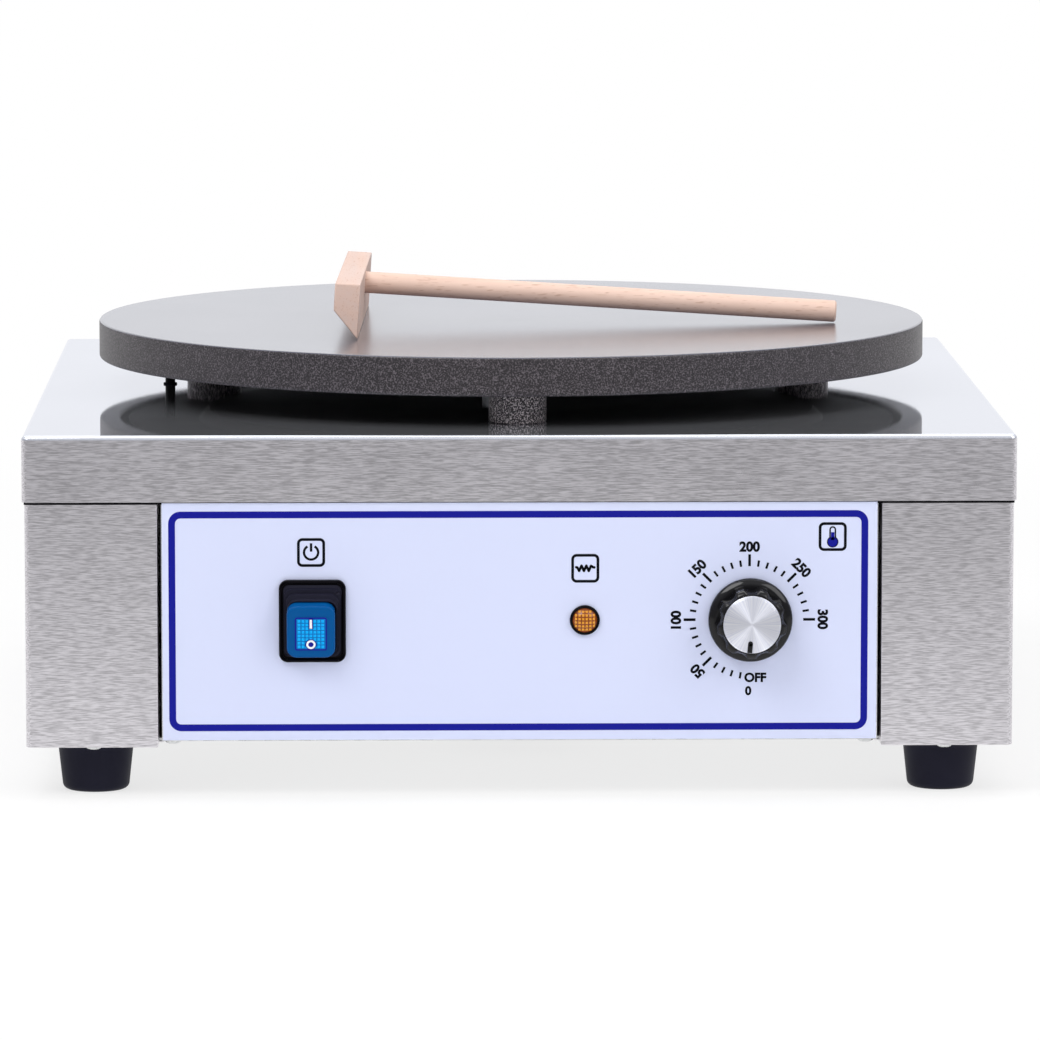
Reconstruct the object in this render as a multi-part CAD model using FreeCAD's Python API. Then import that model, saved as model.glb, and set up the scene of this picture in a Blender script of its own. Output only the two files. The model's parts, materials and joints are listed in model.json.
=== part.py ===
import FreeCAD, Part
import math
import os
from FreeCAD import Vector

# Electric crepe maker: a square steel body on four feet, with a round griddle plate held above
# its deck by three legs, a control panel at the front and a wooden batter spreader on the plate.
# Millimetres. +X is the right hand of someone facing the panel, +Y points away from them, +Z is up.
# The origin lies on the surface that the feet stand on, under the middle of the plate.

# Body and its sheet metal
body_width = 450.0
body_depth = 450.0
wall_height = 112.0
skirt_height = 30.2
sheet = 1.0
sheet_fit = 0.1
corner_radius = 3.0
bend_radius = 2.0
flange_width = 15.0
corner_tab = 62.0
pillar_width = 60.0
panel_gap = 1.7
panel_lift = 2.9
ledge_gap = 0.4
overlay_thickness = 0.3
overlay_margin = 0.4
vent_width = 3.5
vent_length = 34.0
vent_spacing = 9.0
vent_count = 10
vent_row_count = 6
vent_height = 85.0
rear_vent_x = -60.0
base_vent_spread = 75.0

# Feet
foot_height = 23.3
foot_top_radius = 17.7
foot_bottom_radius = 15.0
foot_inset = 31.5
foot_bore_depth = 12.0
foot_bore_radius = 6.0

# Griddle plate
plate_radius = 198.5
plate_thickness = 7.0
rim_height = 18.0
rim_thickness = 10.0
rim_low_chamfer = 2.0
rim_top_chamfer = 1.0
plate_gap = 14.5
boss_radius = 15.0
boss_recess = 2.0
leg_count = 3
leg_radius = 13.3
leg_circle_radius = 168.0
leg_thread_depth = 8.0

# Heating element, a two-way spiral of half turns pressed up against the plate
tube_width = 8.0
tube_height = 6.5
coil_start_radius = 9.0
coil_spacing = 34.0
coil_half_turns = 4
cold_pin_radius = 2.2
cold_pin_length = 16.5
bar_width = 12.0
bar_thickness = 2.5
bar_inner_end = 14.0
bar_overhang = 7.0
bar_spread = 35.0
clamp_thread_depth = 3.0

# Heat shield and insulation under the element
shield_thickness = 0.8
pan_depth = 5.0
pan_radius = 146.0
shield_rim_gap = 3.5
shield_clearance = 0.4
pad_gap = 1.0
pad_bolt_gap = 2.0

# Centre duct for the element's leads, and the plate under the deck
duct_outer_radius = 14.0
duct_wall = 1.3
duct_collar_radius = 18.0
duct_collar_height = 2.0
duct_below_deck = 12.0
duct_above_pan = 1.4
locknut_flats = 34.0
locknut_height = 6.0
brace_gap = 2.0
brace_inner_width = 250.0
brace_thickness = 2.0

# Temperature sensor
sensor_radius = 3.0
sensor_length = 80.0
sensor_circle_radius = 152.0
sensor_angle = 220.0
clip_length = 8.0
clip_wall = 2.5
clip_spread = 25.0
capillary_radius = 1.0
capillary_bend = 5.0
sleeve_x = -164.6
sleeve_radius = 2.4
sleeve_bore = 1.4
sleeve_below_deck = 6.0
grommet_radius = 6.5
grommet_neck = 5.0
grommet_lip = 1.2

# Thermostat and its knob
control_height = 81.2
knob_x = 104.4
spindle_radius = 3.0
spindle_flat = 1.2
running_gap = 0.05
thermostat_width = 44.0
thermostat_height = 34.0
thermostat_depth = 23.0
thermostat_bush_radius = 4.9
thermostat_hole_gap = 0.2
thermostat_screw_spacing = 28.0
knob_back_gap = 1.0
knob_skirt_radius = 19.1
knob_skirt_edge = 1.6
knob_bevel_top = 4.2
knob_base_radius = 16.6
knob_top_radius = 15.0
knob_height = 17.0
knob_bore_end = 2.0
flute_count = 9
flute_share = 0.13
cap_radius = 13.0
cap_thickness = 1.0
cap_chamfer = 0.3
pointer_width = 2.2
pointer_length = 5.0
press_gap = 0.02

# Rocker switch
switch_x = -93.9
bezel_width = 29.8
bezel_height = 36.3
bezel_corner = 4.0
bezel_back = 0.8
bezel_front = 2.4
bezel_frame = 1.6
boot_front = 3.4
boot_wall = 0.6
boot_gap = 0.1
switch_body_width = 22.0
switch_body_height = 30.0
switch_body_depth = 26.0
switch_wall = 1.5
switch_cavity_depth = 14.0
rocker_width = 22.0
rocker_face_height = 25.7
rocker_corner = 4.5
rocker_edge = 1.0
rocker_thickness = 7.0
rocker_reach = 19.0
rocker_pivot_depth = 7.6
rocker_tilt = 12.0
arm_width = 15.0
arm_height = 8.0
trunnion_radius = 1.5
trunnion_length = 1.2
window_width = 13.2
window_height = 14.5
window_depth = 0.8
window_recess = 0.5
window_drop = 0.6

# Pilot lamp
lamp_x = 29.4
lamp_rim_radius = 6.6
lamp_rim_height = 1.2
lamp_barrel_radius = 4.9
lamp_depth = 22.0
lens_radius = 5.8
lens_height = 3.0
lens_top_share = 0.6
lamp_nut_radius = 8.0
lamp_nut_height = 2.0

# Cable gland and mains terminals at the back
gland_inset = 73.9
gland_z = 62.0
gland_thread_radius = 9.8
gland_flats = 24.0
gland_flange = 4.5
gland_inside = 10.0
gland_bore = 6.0
gland_cup_radius = 8.0
gland_cup_height = 5.5
gland_cap_height = 13.4
gland_cap_flats_length = 7.0
gland_cap_nose = 8.5
gland_cap_bore = 5.4
cable_radius = 5.0
gland_locknut_height = 4.0
block_length = 46.0
block_depth = 22.0
block_base = 8.0
block_post = 8.0
block_poles = 3
block_inset = 73.9
stud_radius = 2.5
stud_length = 16.0
stud_spacing = 45.0

# Fasteners
m4_radius = 2.0
m4_head_radius = 3.7
m4_head_height = 2.0
m5_radius = 2.5
m5_head_radius = 4.7
m5_head_height = 3.0
m5_flats = 8.0
m5_nut_height = 4.0
m6_radius = 3.0
m6_flats = 10.0
m6_head_height = 3.5
m8_radius = 4.0
m8_flats = 13.0
m8_head_height = 5.3
m8_washer_radius = 8.0
washer_thickness = 1.6
hole_gap = 0.3
screw_length = 8.0
blade_width = 6.3
blade_thickness = 0.8
blade_length = 8.0
lead_radius = 2.5
lead_bend = 30.0

# Wooden batter spreader
head_length = 176.0
head_width = 11.8
head_height = 25.7
head_back_height = 12.8
handle_radius = 5.15
handle_length = 225.5
handle_height = 19.0
handle_socket = 9.0
handle_end_chamfer = 0.8
spreader_x = -71.3
spreader_y = -28.0
spreader_yaw = -1.6
spreader_gap = 0.3

# Numbers of flat sides on small or hidden pieces that look round
HEAD_SIDES = 12
FOOT_SIDES = 24
KNOB_SIDES = 60
BARREL_SIDES = 12
SLEEVE_SIDES = 12
GLAND_SIDES = 18
DUCT_SIDES = 18
PAN_SIDES = 48
PAD_SIDES = 24
TURN_SIDES = 32
CAPILLARY_SIDES = 3
LEAD_SIDES = 3
LENS_SIDES = 24

# Heights and planes that follow from the sizes above
body_bottom = foot_height
skirt_bottom = body_bottom + wall_height
deck_top = skirt_bottom + skirt_height
deck_underside = deck_top - sheet
plate_bottom = deck_top + plate_gap
plate_top = plate_bottom + rim_height
plate_ceiling = plate_top - plate_thickness
boss_bottom = plate_bottom + boss_recess
leg_top = boss_bottom - shield_thickness
pan_top = boss_bottom - pan_depth
wrap_width = body_width - 2 * (sheet + sheet_fit)
wrap_depth = body_depth - 2 * (sheet + sheet_fit)
window_half = wrap_width / 2 - pillar_width
panel_half = window_half - panel_gap
panel_bottom = body_bottom + panel_lift
panel_front = -wrap_depth / 2
control_face = panel_front - overlay_thickness
rear_wall = wrap_depth / 2
gland_x = wrap_width / 2 - gland_inset
block_y = rear_wall - block_inset
stud_x = gland_x - stud_spacing
base_top = body_bottom + 2 * sheet
element_bottom = plate_ceiling - tube_height
bar_bottom = element_bottom - bar_thickness
base_screw_inset = foot_inset - foot_top_radius - m4_head_radius - 0.5
foot_x = body_width / 2 - foot_inset
foot_y = body_depth / 2 - foot_inset
spreader_tilt = math.degrees(math.atan2(handle_height - handle_radius, handle_length))


def box(x0, x1, y0, y1, z0, z1):
    return Part.makeBox(x1 - x0, y1 - y0, z1 - z0, Vector(x0, y0, z0))


def rod(radius, length, x=0.0, y=0.0, z=0.0):
    return Part.makeCylinder(radius, length, Vector(x, y, z))


def polar(radius, angle, z=0.0):
    turn = math.radians(angle)
    return Vector(radius * math.cos(turn), radius * math.sin(turn), z)


def rounded_path(corners, closed=False):
    """Straight runs through the corners, each a point and a radius, with tangent arcs at the corners."""
    count = len(corners)
    spans = []
    for index, (point, radius) in enumerate(corners):
        at_end = not closed and index in (0, count - 1)
        if radius == 0 or at_end:
            spans.append((point, None, point))
            continue
        inward = (point - corners[index - 1][0]).normalize()
        outward = (corners[(index + 1) % count][0] - point).normalize()
        half_turn = inward.getAngle(outward) / 2
        reach = radius * math.tan(half_turn)
        bisector = (outward - inward).normalize()
        middle = point + bisector * (radius / math.cos(half_turn) - radius)
        spans.append((point - inward * reach, middle, point + outward * reach))
    edges = []
    for index, (start, middle, end) in enumerate(spans):
        if middle is not None:
            edges.append(Part.Arc(start, middle, end).toShape())
        if closed or index < count - 1:
            following = spans[(index + 1) % count][0]
            if end.distanceToPoint(following) > 1e-6:
                edges.append(Part.LineSegment(end, following).toShape())
    return Part.Wire(edges)


def lathe(profile):
    """Solid turned about Z from corners of radius, height and corner rounding."""
    corners = [(Vector(radius, 0, height), rounding) for radius, height, rounding in profile]
    face = Part.Face(rounded_path(corners, closed=True))
    return face.revolve(Vector(0, 0, 0), Vector(0, 0, 1), 360)


def rounded_prism(width, depth, corner, bottom, height):
    """Upright prism on a rectangle with round corners, centred on Z."""
    x = width / 2
    y = depth / 2
    corners = [(Vector(x, y, bottom), corner), (Vector(-x, y, bottom), corner)]
    corners += [(Vector(-x, -y, bottom), corner), (Vector(x, -y, bottom), corner)]
    return Part.Face(rounded_path(corners, closed=True)).extrude(Vector(0, 0, height))


def ring(sides, radius, height=0.0, x=0.0, y=0.0):
    """Corners of a level regular polygon."""
    return [Vector(x, y, height) + polar(radius, 360.0 * side / sides) for side in range(sides)]


def flat_face(corners):
    return Part.Face(Part.makePolygon(corners + [corners[0]]))


def prism(sides, radius, height, x=0.0, y=0.0, z=0.0):
    """Upright prism on a regular polygon whose corners lie at the radius."""
    return flat_face(ring(sides, radius, z, x, y)).extrude(Vector(0, 0, height))


def tapered(low, high):
    """Flat-sided solid between two outlines of the same shape at different heights."""
    faces = [flat_face(low), flat_face(high)]
    for index in range(len(low)):
        faces.append(flat_face([low[index - 1], low[index], high[index], high[index - 1]]))
    return Part.Solid(Part.Shell(faces))


def around(sides, radius, height, x=0.0, y=0.0, z=0.0):
    """Upright prism on a regular polygon whose flat sides lie at the radius."""
    return prism(sides, radius / math.cos(math.pi / sides), height, x, y, z)


def hexagon(flats, bottom, height):
    return around(6, flats / 2, height, 0, 0, bottom)


def tube(points, radius, bend, sides):
    """Tube along straight runs with arcs as large as the bend or the runs allow."""
    corners = []
    for index, point in enumerate(points):
        if index in (0, len(points) - 1):
            corners.append((point, 0))
            continue
        inward = point - points[index - 1]
        outward = points[index + 1] - point
        half_turn = inward.getAngle(outward) / 2
        room = 0.45 * min(inward.Length, outward.Length) / math.tan(half_turn)
        corners.append((point, min(bend, room)))
    facing = FreeCAD.Rotation(Vector(0, 0, 1), points[1] - points[0])
    section = [facing.multVec(corner) + points[0] for corner in ring(sides, radius)]
    return rounded_path(corners).makePipeShell([Part.makePolygon(section + [section[0]])], True, False)


def pan_screw(shank_radius, head_radius, head_height, length):
    """Screw along Z with its head above zero."""
    return prism(HEAD_SIDES, head_radius, head_height).fuse(prism(6, shank_radius, length, 0, 0, -length))


def hex_bolt(flats, head_height, shank_radius, length):
    """Bolt along Z with its head below zero and its shank above."""
    return hexagon(flats, -head_height, head_height).fuse(prism(6, shank_radius, length))


def hex_nut(flats, height, bore):
    return hexagon(flats, 0, height).cut(prism(6, bore, height))


def screw_hole(radius, height, x=0.0, y=0.0, z=0.0):
    """Cutter for a screw's clearance hole, six-sided as the shank is."""
    return prism(6, radius + hole_gap, height, x, y, z)


def moved(shape, x, y, z):
    copy = shape.copy()
    copy.translate(Vector(x, y, z))
    return copy


def on_front(shape, x, z, y):
    """Turn a shape whose +Z points outwards so that it points to -Y, and put its origin in place."""
    copy = shape.copy()
    copy.rotate(Vector(0, 0, 0), Vector(1, 0, 0), 90)
    return moved(copy, x, y, z)


def on_rear(shape, x, z, y):
    """Turn a shape whose +Z points outwards so that it points to +Y, and put its origin in place."""
    copy = shape.copy()
    copy.rotate(Vector(0, 0, 0), Vector(1, 0, 0), -90)
    return moved(copy, x, y, z)


def upside_down(shape):
    copy = shape.copy()
    copy.rotate(Vector(0, 0, 0), Vector(1, 0, 0), 180)
    return copy


def leg_places():
    return [polar(leg_circle_radius, 270 + 360.0 * leg / leg_count) for leg in range(leg_count)]


def foot_places():
    return [Vector(side_x * foot_x, side_y * foot_y, 0) for side_x in (-1, 1) for side_y in (-1, 1)]


def base_screw_places():
    edge_x = body_width / 2 - base_screw_inset
    edge_y = body_depth / 2 - base_screw_inset
    ends = [Vector(x, y, 0) for x in (-foot_x, foot_x) for y in (-edge_y, edge_y)]
    return ends + [Vector(-edge_x, 0, 0), Vector(edge_x, 0, 0)]


def panel_screw_places():
    inset = m4_head_radius + sheet
    depth = panel_front + flange_width / 2
    return [Vector(side * (panel_half - inset), depth, 0) for side in (-1, 1)]


def deck_screw_places():
    spacing = body_width / 3
    return [Vector(column * spacing, 0, skirt_bottom + skirt_height / 2) for column in (-1, 0, 1)]


def bent_block(width, depth, bottom, height):
    """Rounded prism whose upper edges are bent round."""
    block = rounded_prism(width, depth, corner_radius, bottom, height)
    edges = [e for e in block.Edges if abs(e.BoundBox.ZMin - bottom - height) < 1e-6]
    return block.makeFillet(bend_radius, edges)


def vent_row(count, thickness):
    """Row of vent slots along X, each along Y, cut from the XY plane upwards."""
    start = -(count - 1) * vent_spacing / 2
    slots = []
    for number in range(count):
        middle = start + vent_spacing * number
        slots.append(box(middle - vent_width / 2, middle + vent_width / 2, -vent_length / 2, vent_length / 2,
                         0, thickness))
    return slots


def housing_wrap():
    """One folded sheet: two sides, the back, and pillars that turn in beside the control panel."""
    height = deck_underside - body_bottom
    shell = rounded_prism(wrap_width, wrap_depth, corner_radius, body_bottom, height)
    inside = rounded_prism(wrap_width - 2 * sheet, wrap_depth - 2 * sheet, corner_radius - sheet,
                           body_bottom + sheet, height - 2 * sheet)
    shell = shell.cut(inside)
    half_x = wrap_width / 2
    half_y = wrap_depth / 2
    in_x = half_x - flange_width
    in_y = half_y - flange_width
    tab_x = half_x - corner_tab
    tab_y = half_y - corner_tab
    low = body_bottom - 1
    openings = [
        box(-in_x, in_x, -tab_y, tab_y, low, body_bottom + 2 * sheet),
        box(-tab_x, tab_x, -in_y, in_y, low, body_bottom + 2 * sheet),
        box(-in_x, in_x, -in_y, in_y, deck_underside - 2 * sheet, deck_underside + 1),
        box(-window_half, window_half, -half_y - 1, -in_y, low, deck_underside + 1),
    ]
    shell = shell.cut(openings)
    for side in (-1, 1):
        inner = side * window_half
        outer = side * (window_half + sheet)
        shell = shell.fuse(box(min(inner, outer), max(inner, outer), -half_y + sheet, -in_y,
                               body_bottom, deck_underside))
    holes = [screw_hole(m5_radius, 3 * sheet, p.x, p.y, low) for p in foot_places()]
    holes += [screw_hole(m4_radius, 3 * sheet, p.x, p.y, low) for p in base_screw_places()]
    inner = rear_wall - 2 * sheet
    holes += [on_rear(screw_hole(m4_radius, 4 * sheet), p.x, p.z, inner) for p in deck_screw_places()]
    gland_hole = prism(GLAND_SIDES, gland_thread_radius + hole_gap, 4 * sheet)
    holes.append(on_rear(gland_hole, gland_x, gland_z, inner))
    holes += [on_rear(cutter, rear_vent_x, vent_height, inner) for cutter in vent_row(vent_count, 4 * sheet)]
    return shell.cut(holes).removeSplitter()


def deck_cover():
    """Folded deck with a skirt all round, which the wrap stands inside."""
    cover = bent_block(body_width, body_depth, skirt_bottom, skirt_height)
    inner_width = body_width - 2 * sheet
    inner_depth = body_depth - 2 * sheet
    inside = rounded_prism(inner_width, inner_depth, corner_radius - sheet, skirt_bottom - 1,
                           skirt_height + 1 - sheet)
    cover = cover.cut(inside)
    low = deck_top - 2 * sheet
    holes = [screw_hole(m8_radius, 3 * sheet, p.x, p.y, low) for p in leg_places()]
    holes.append(prism(DUCT_SIDES, duct_outer_radius + hole_gap, 3 * sheet, 0, 0, low))
    holes.append(prism(SLEEVE_SIDES, grommet_neck + hole_gap / 2, 3 * sheet, sleeve_x, 0, low))
    holes += [on_rear(screw_hole(m4_radius, 3 * sheet), p.x, p.z, body_depth / 2 - 2 * sheet)
              for p in deck_screw_places()]
    return cover.cut(holes)


def deck_reinforcement():
    """Square frame under the deck that spreads the load of the three legs."""
    bottom = deck_underside - brace_thickness
    outer_x = wrap_width / 2 - flange_width - brace_gap
    outer_y = wrap_depth / 2 - flange_width - brace_gap
    inner = brace_inner_width / 2
    frame = box(-outer_x, outer_x, -outer_y, outer_y, bottom, deck_underside)
    holes = [box(-inner, inner, -inner, inner, bottom, deck_underside)]
    holes += [screw_hole(m8_radius, brace_thickness, p.x, p.y, bottom) for p in leg_places()]
    holes.append(prism(SLEEVE_SIDES, grommet_neck + hole_gap / 2, brace_thickness, sleeve_x, 0, bottom))
    return frame.cut(holes)


def control_cutters(front, back):
    """Holes for the switch, the lamp and the thermostat, from one plane in Y to another."""
    depth = back - front
    half_width = (switch_body_width + hole_gap) / 2
    half_height = (switch_body_height + hole_gap) / 2
    opening = box(-half_width, half_width, -half_height, half_height, -depth, 0)
    lamp_hole = prism(BARREL_SIDES, lamp_barrel_radius + hole_gap, depth, 0, 0, -depth)
    bush_hole = prism(BARREL_SIDES, thermostat_bush_radius + hole_gap, depth, 0, 0, -depth)
    return [on_front(opening, switch_x, control_height, front),
            on_front(lamp_hole, lamp_x, control_height, front),
            on_front(bush_hole, knob_x, control_height, front)]


def control_panel():
    """Folded tray between the pillars, with flanges at all four edges."""
    top = deck_underside - ledge_gap
    tray = box(-panel_half, panel_half, panel_front, panel_front + flange_width, panel_bottom, top)
    hollow = box(-panel_half + sheet, panel_half - sheet, panel_front + sheet,
                 panel_front + flange_width + 1, panel_bottom + sheet, top - sheet)
    tray = tray.cut(hollow)
    cutters = control_cutters(panel_front - 1, panel_front + 2 * sheet)
    cutters += [screw_hole(m4_radius, 3 * sheet, p.x, p.y, panel_bottom - sheet) for p in panel_screw_places()]
    cutters += [on_front(countersunk_screw(), x, control_height, panel_front) for x in thermostat_screw_xs()]
    return tray.cut(cutters)


def panel_overlay():
    """Thin printed sheet stuck on the panel's face below the deck's skirt."""
    top = skirt_bottom - overlay_margin
    bottom = panel_bottom + overlay_margin
    half = panel_half - overlay_margin
    overlay = box(-half, half, control_face, panel_front, bottom, top)
    return overlay.cut(control_cutters(control_face - 1, panel_front + 1))


def base_plate():
    """Flat floor of the body, stepped up at the front over the panel's lower flange."""
    fit = sheet + sheet_fit
    half_x = wrap_width / 2 - fit
    half_y = wrap_depth / 2 - fit
    low = body_bottom + sheet
    step_y = -wrap_depth / 2 + flange_width + ledge_gap
    ledge_half = panel_half - sheet - ledge_gap
    ledge_low = panel_bottom + sheet
    plate = rounded_prism(2 * half_x, 2 * half_y, corner_radius - sheet, low, sheet)
    notch = window_half + sheet + ledge_gap
    plate = plate.cut(box(-notch, notch, -half_y - 1, step_y, low - 1, low + sheet + 1))
    riser = box(-ledge_half, ledge_half, step_y, step_y + sheet, low, ledge_low + sheet)
    ledge = box(-ledge_half, ledge_half, panel_front + fit, step_y + sheet, ledge_low, ledge_low + sheet)
    plate = plate.fuse([riser, ledge])
    holes = [screw_hole(m5_radius, 3 * sheet, p.x, p.y, body_bottom) for p in foot_places()]
    holes += [prism(6, m4_radius, 3 * sheet, p.x, p.y, body_bottom) for p in base_screw_places()]
    holes += [prism(6, m4_radius, 3 * sheet, p.x, p.y, panel_bottom) for p in panel_screw_places()]
    holes.append(prism(6, stud_radius, 3 * sheet, stud_x, block_y, body_bottom))
    for side in (-1, 1):
        holes += [moved(cutter, 0, side * base_vent_spread, body_bottom)
                  for cutter in vent_row(vent_row_count, 3 * sheet)]
    return plate.cut(holes).removeSplitter()


def feet():
    """Tapered rubber feet, each counterbored from below for its screw."""
    foot = tapered(ring(FOOT_SIDES, foot_bottom_radius), ring(FOOT_SIDES, foot_top_radius, foot_height))
    foot = foot.cut([prism(HEAD_SIDES, foot_bore_radius, foot_bore_depth), screw_hole(m5_radius, foot_height)])
    return [moved(foot, p.x, p.y, 0) for p in foot_places()]


def foot_screws():
    length = foot_height + 2 * sheet + m5_nut_height - foot_bore_depth
    screw = upside_down(pan_screw(m5_radius, m5_head_radius, m5_head_height, length))
    return [moved(screw, p.x, p.y, foot_bore_depth) for p in foot_places()]


def foot_nuts():
    nut = hex_nut(m5_flats, m5_nut_height, m5_radius)
    return [moved(nut, p.x, p.y, base_top) for p in foot_places()]


def base_screws():
    screw = upside_down(pan_screw(m4_radius, m4_head_radius, m4_head_height, screw_length))
    return [moved(screw, p.x, p.y, body_bottom) for p in base_screw_places()]


def panel_screws():
    screw = upside_down(pan_screw(m4_radius, m4_head_radius, m4_head_height, screw_length))
    return [moved(screw, p.x, p.y, panel_bottom) for p in panel_screw_places()]


def deck_screws():
    screw = pan_screw(m4_radius, m4_head_radius, m4_head_height, screw_length)
    return [on_rear(screw, p.x, p.z, body_depth / 2) for p in deck_screw_places()]


def outer_side():
    """The side with one more half turn: behind the centre line if their number is odd."""
    return 1 if coil_half_turns % 2 else -1


def turns_on(side):
    return coil_half_turns if side == outer_side() else coil_half_turns - 1


def clamp_directions():
    """Centre and direction of each clamp bar, with the number of element turns it crosses."""
    bars = []
    for side in (1, -1):
        centre = Vector(-side * coil_spacing / 2, 0, 0)
        bars += [(centre, side * 90 + lean, turns_on(side)) for lean in (-bar_spread, bar_spread)]
    return bars


def clamp_bolt_places():
    """Each bar has a bolt in the first and in the last gap between the turns that it crosses."""
    places = []
    for centre, angle, turns in clamp_directions():
        for gap in (1, turns - 1):
            places.append(centre + polar(coil_start_radius + coil_spacing * gap, angle))
    return places


def griddle_plate():
    """Cast round plate with a deep rim, three leg bosses and tapped holes in its underside."""
    inner = plate_radius - rim_thickness
    profile = [(0, plate_top, 0), (plate_radius - rim_top_chamfer, plate_top, 0)]
    profile += [(plate_radius, plate_top - rim_top_chamfer, 0)]
    profile += [(plate_radius, plate_bottom + rim_low_chamfer, 0)]
    profile += [(plate_radius - rim_low_chamfer, plate_bottom, 0), (inner, plate_bottom, 0)]
    profile += [(inner, plate_ceiling, 0), (0, plate_ceiling, 0)]
    plate = lathe(profile)
    bosses = [prism(FOOT_SIDES, boss_radius, plate_ceiling - boss_bottom, p.x, p.y, boss_bottom)
              for p in leg_places()]
    plate = plate.fuse(bosses)
    holes = [prism(6, m8_radius, leg_thread_depth, p.x, p.y, boss_bottom) for p in leg_places()]
    holes += [prism(6, m6_radius, clamp_thread_depth, p.x, p.y, plate_ceiling) for p in clamp_bolt_places()]
    return plate.cut(holes)


def element_half_turn(centre_x, radius, side):
    """Half a turn of flattened tube, behind the centre line for side 1 and in front for side -1."""
    outer = prism(TURN_SIDES, radius + tube_width / 2, tube_height, centre_x, 0, element_bottom)
    inner = prism(TURN_SIDES, radius - tube_width / 2, tube_height, centre_x, 0, element_bottom)
    reach = radius + tube_width
    half = box(centre_x - reach, centre_x + reach, min(0, side * reach), max(0, side * reach),
               element_bottom, plate_ceiling)
    return outer.cut(inner).common(half)


def heating_element():
    """Two spirals of half turns, wound into each other and joined by a return bend at the outside."""
    turns = []
    for side in (1, -1):
        for number in range(turns_on(side)):
            radius = coil_start_radius + coil_spacing * (number + 0.5)
            turns.append(element_half_turn(-side * coil_spacing / 2, radius, side))
    outermost = coil_start_radius + coil_spacing * (coil_half_turns - 0.5)
    turns.append(element_half_turn(-outer_side() * outermost, coil_spacing / 2, -outer_side()))
    for side in (-1, 1):
        turns.append(prism(6, cold_pin_radius, cold_pin_length + tube_height / 2, side * coil_start_radius, 0,
                           element_bottom - cold_pin_length))
    return turns[0].multiFuse(turns[1:]).removeSplitter()


def element_clamp_bars():
    """Flat bars across the turns, each held up by two bolts."""
    bars = []
    for centre, angle, turns in clamp_directions():
        end = coil_start_radius + coil_spacing * (turns - 0.5) + bar_overhang
        bar = box(bar_inner_end, end, -bar_width / 2, bar_width / 2, bar_bottom, element_bottom)
        for gap in (1, turns - 1):
            middle = coil_start_radius + coil_spacing * gap
            bar = bar.cut(prism(6, m6_radius + hole_gap, bar_thickness, middle, 0, bar_bottom))
        bar.rotate(Vector(0, 0, 0), Vector(0, 0, 1), angle)
        bars.append(moved(bar, centre.x, centre.y, 0))
    return bars


def clamp_bolts():
    """Hexagon bolts up through the bars, each turned to line up with its bar."""
    length = plate_ceiling - bar_bottom + clamp_thread_depth
    bolt = hex_bolt(m6_flats, m6_head_height, m6_radius, length)
    return [moved(bolt, p.x, p.y, bar_bottom) for p in clamp_bolt_places()]


def insulation_pad():
    """Fibre pad in the pan of the heat shield, cut out round the clamp bolts' heads."""
    height = bar_bottom - pan_top
    pad = prism(PAD_SIDES, pan_radius - pad_gap, height, 0, 0, pan_top)
    cutters = [around(DUCT_SIDES, duct_outer_radius + pad_gap, height, 0, 0, pan_top)]
    cutters += [around(6, m6_flats / 2 + pad_bolt_gap, height, p.x, p.y, pan_top) for p in clamp_bolt_places()]
    return pad.cut(cutters)


def heat_shield():
    """Pressed pan whose flange is clamped between the legs and the plate's bosses."""
    hub = duct_outer_radius + shield_clearance
    rim = plate_radius - rim_thickness - shield_rim_gap
    flange_start = pan_radius + pan_depth
    pan_bottom = pan_top - shield_thickness
    dish = tapered(ring(PAN_SIDES, pan_radius, pan_bottom), ring(PAN_SIDES, flange_start, leg_top))
    flange = prism(PAN_SIDES, rim, shield_thickness, 0, 0, leg_top)
    hollow = tapered(ring(PAN_SIDES, pan_radius, pan_top), ring(PAN_SIDES, flange_start, boss_bottom))
    shield = dish.fuse(flange).cut(hollow)
    low = leg_top - shield_thickness / 2
    holes = [screw_hole(m8_radius, 2 * shield_thickness, p.x, p.y, low) for p in leg_places()]
    holes.append(prism(SLEEVE_SIDES, sleeve_radius + hole_gap, 2 * shield_thickness, sleeve_x, 0, low))
    holes.append(around(DUCT_SIDES, hub, 2 * shield_thickness, 0, 0, pan_bottom))
    return shield.cut(holes).removeSplitter()


def support_legs():
    """Spacers between the deck and the heat shield, each bored for its bolt."""
    height = leg_top - deck_top
    leg = rod(leg_radius, height, 0, 0, deck_top).cut(screw_hole(m8_radius, height, 0, 0, deck_top))
    return [moved(leg, p.x, p.y, 0) for p in leg_places()]


def leg_washers():
    top = deck_underside - brace_thickness
    washer = prism(HEAD_SIDES, m8_washer_radius, washer_thickness).cut(screw_hole(m8_radius, washer_thickness))
    return [moved(washer, p.x, p.y, top - washer_thickness) for p in leg_places()]


def leg_bolts():
    seat = deck_underside - brace_thickness - washer_thickness
    bolt = hex_bolt(m8_flats, m8_head_height, m8_radius, boss_bottom + leg_thread_depth - seat)
    return [moved(bolt, p.x, p.y, seat) for p in leg_places()]


def centre_duct():
    """Collared tube that carries the element's leads from the plate down into the body."""
    low = deck_underside - duct_below_deck
    length = pan_top + duct_above_pan - low
    duct = prism(DUCT_SIDES, duct_outer_radius, length, 0, 0, low)
    collar = prism(DUCT_SIDES, duct_collar_radius, duct_collar_height, 0, 0, deck_top)
    return duct.fuse(collar).cut(prism(DUCT_SIDES, duct_outer_radius - duct_wall, length, 0, 0, low))


def duct_locknut():
    bottom = deck_underside - locknut_height
    bore = prism(DUCT_SIDES, duct_outer_radius, locknut_height, 0, 0, bottom)
    return hexagon(locknut_flats, bottom, locknut_height).cut(bore)


def sensor_axis():
    """Middle of the bulb and its direction towards the sleeve."""
    middle = polar(sensor_circle_radius, sensor_angle, plate_ceiling - sensor_radius)
    return middle, polar(1.0, sensor_angle - 90)


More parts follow.
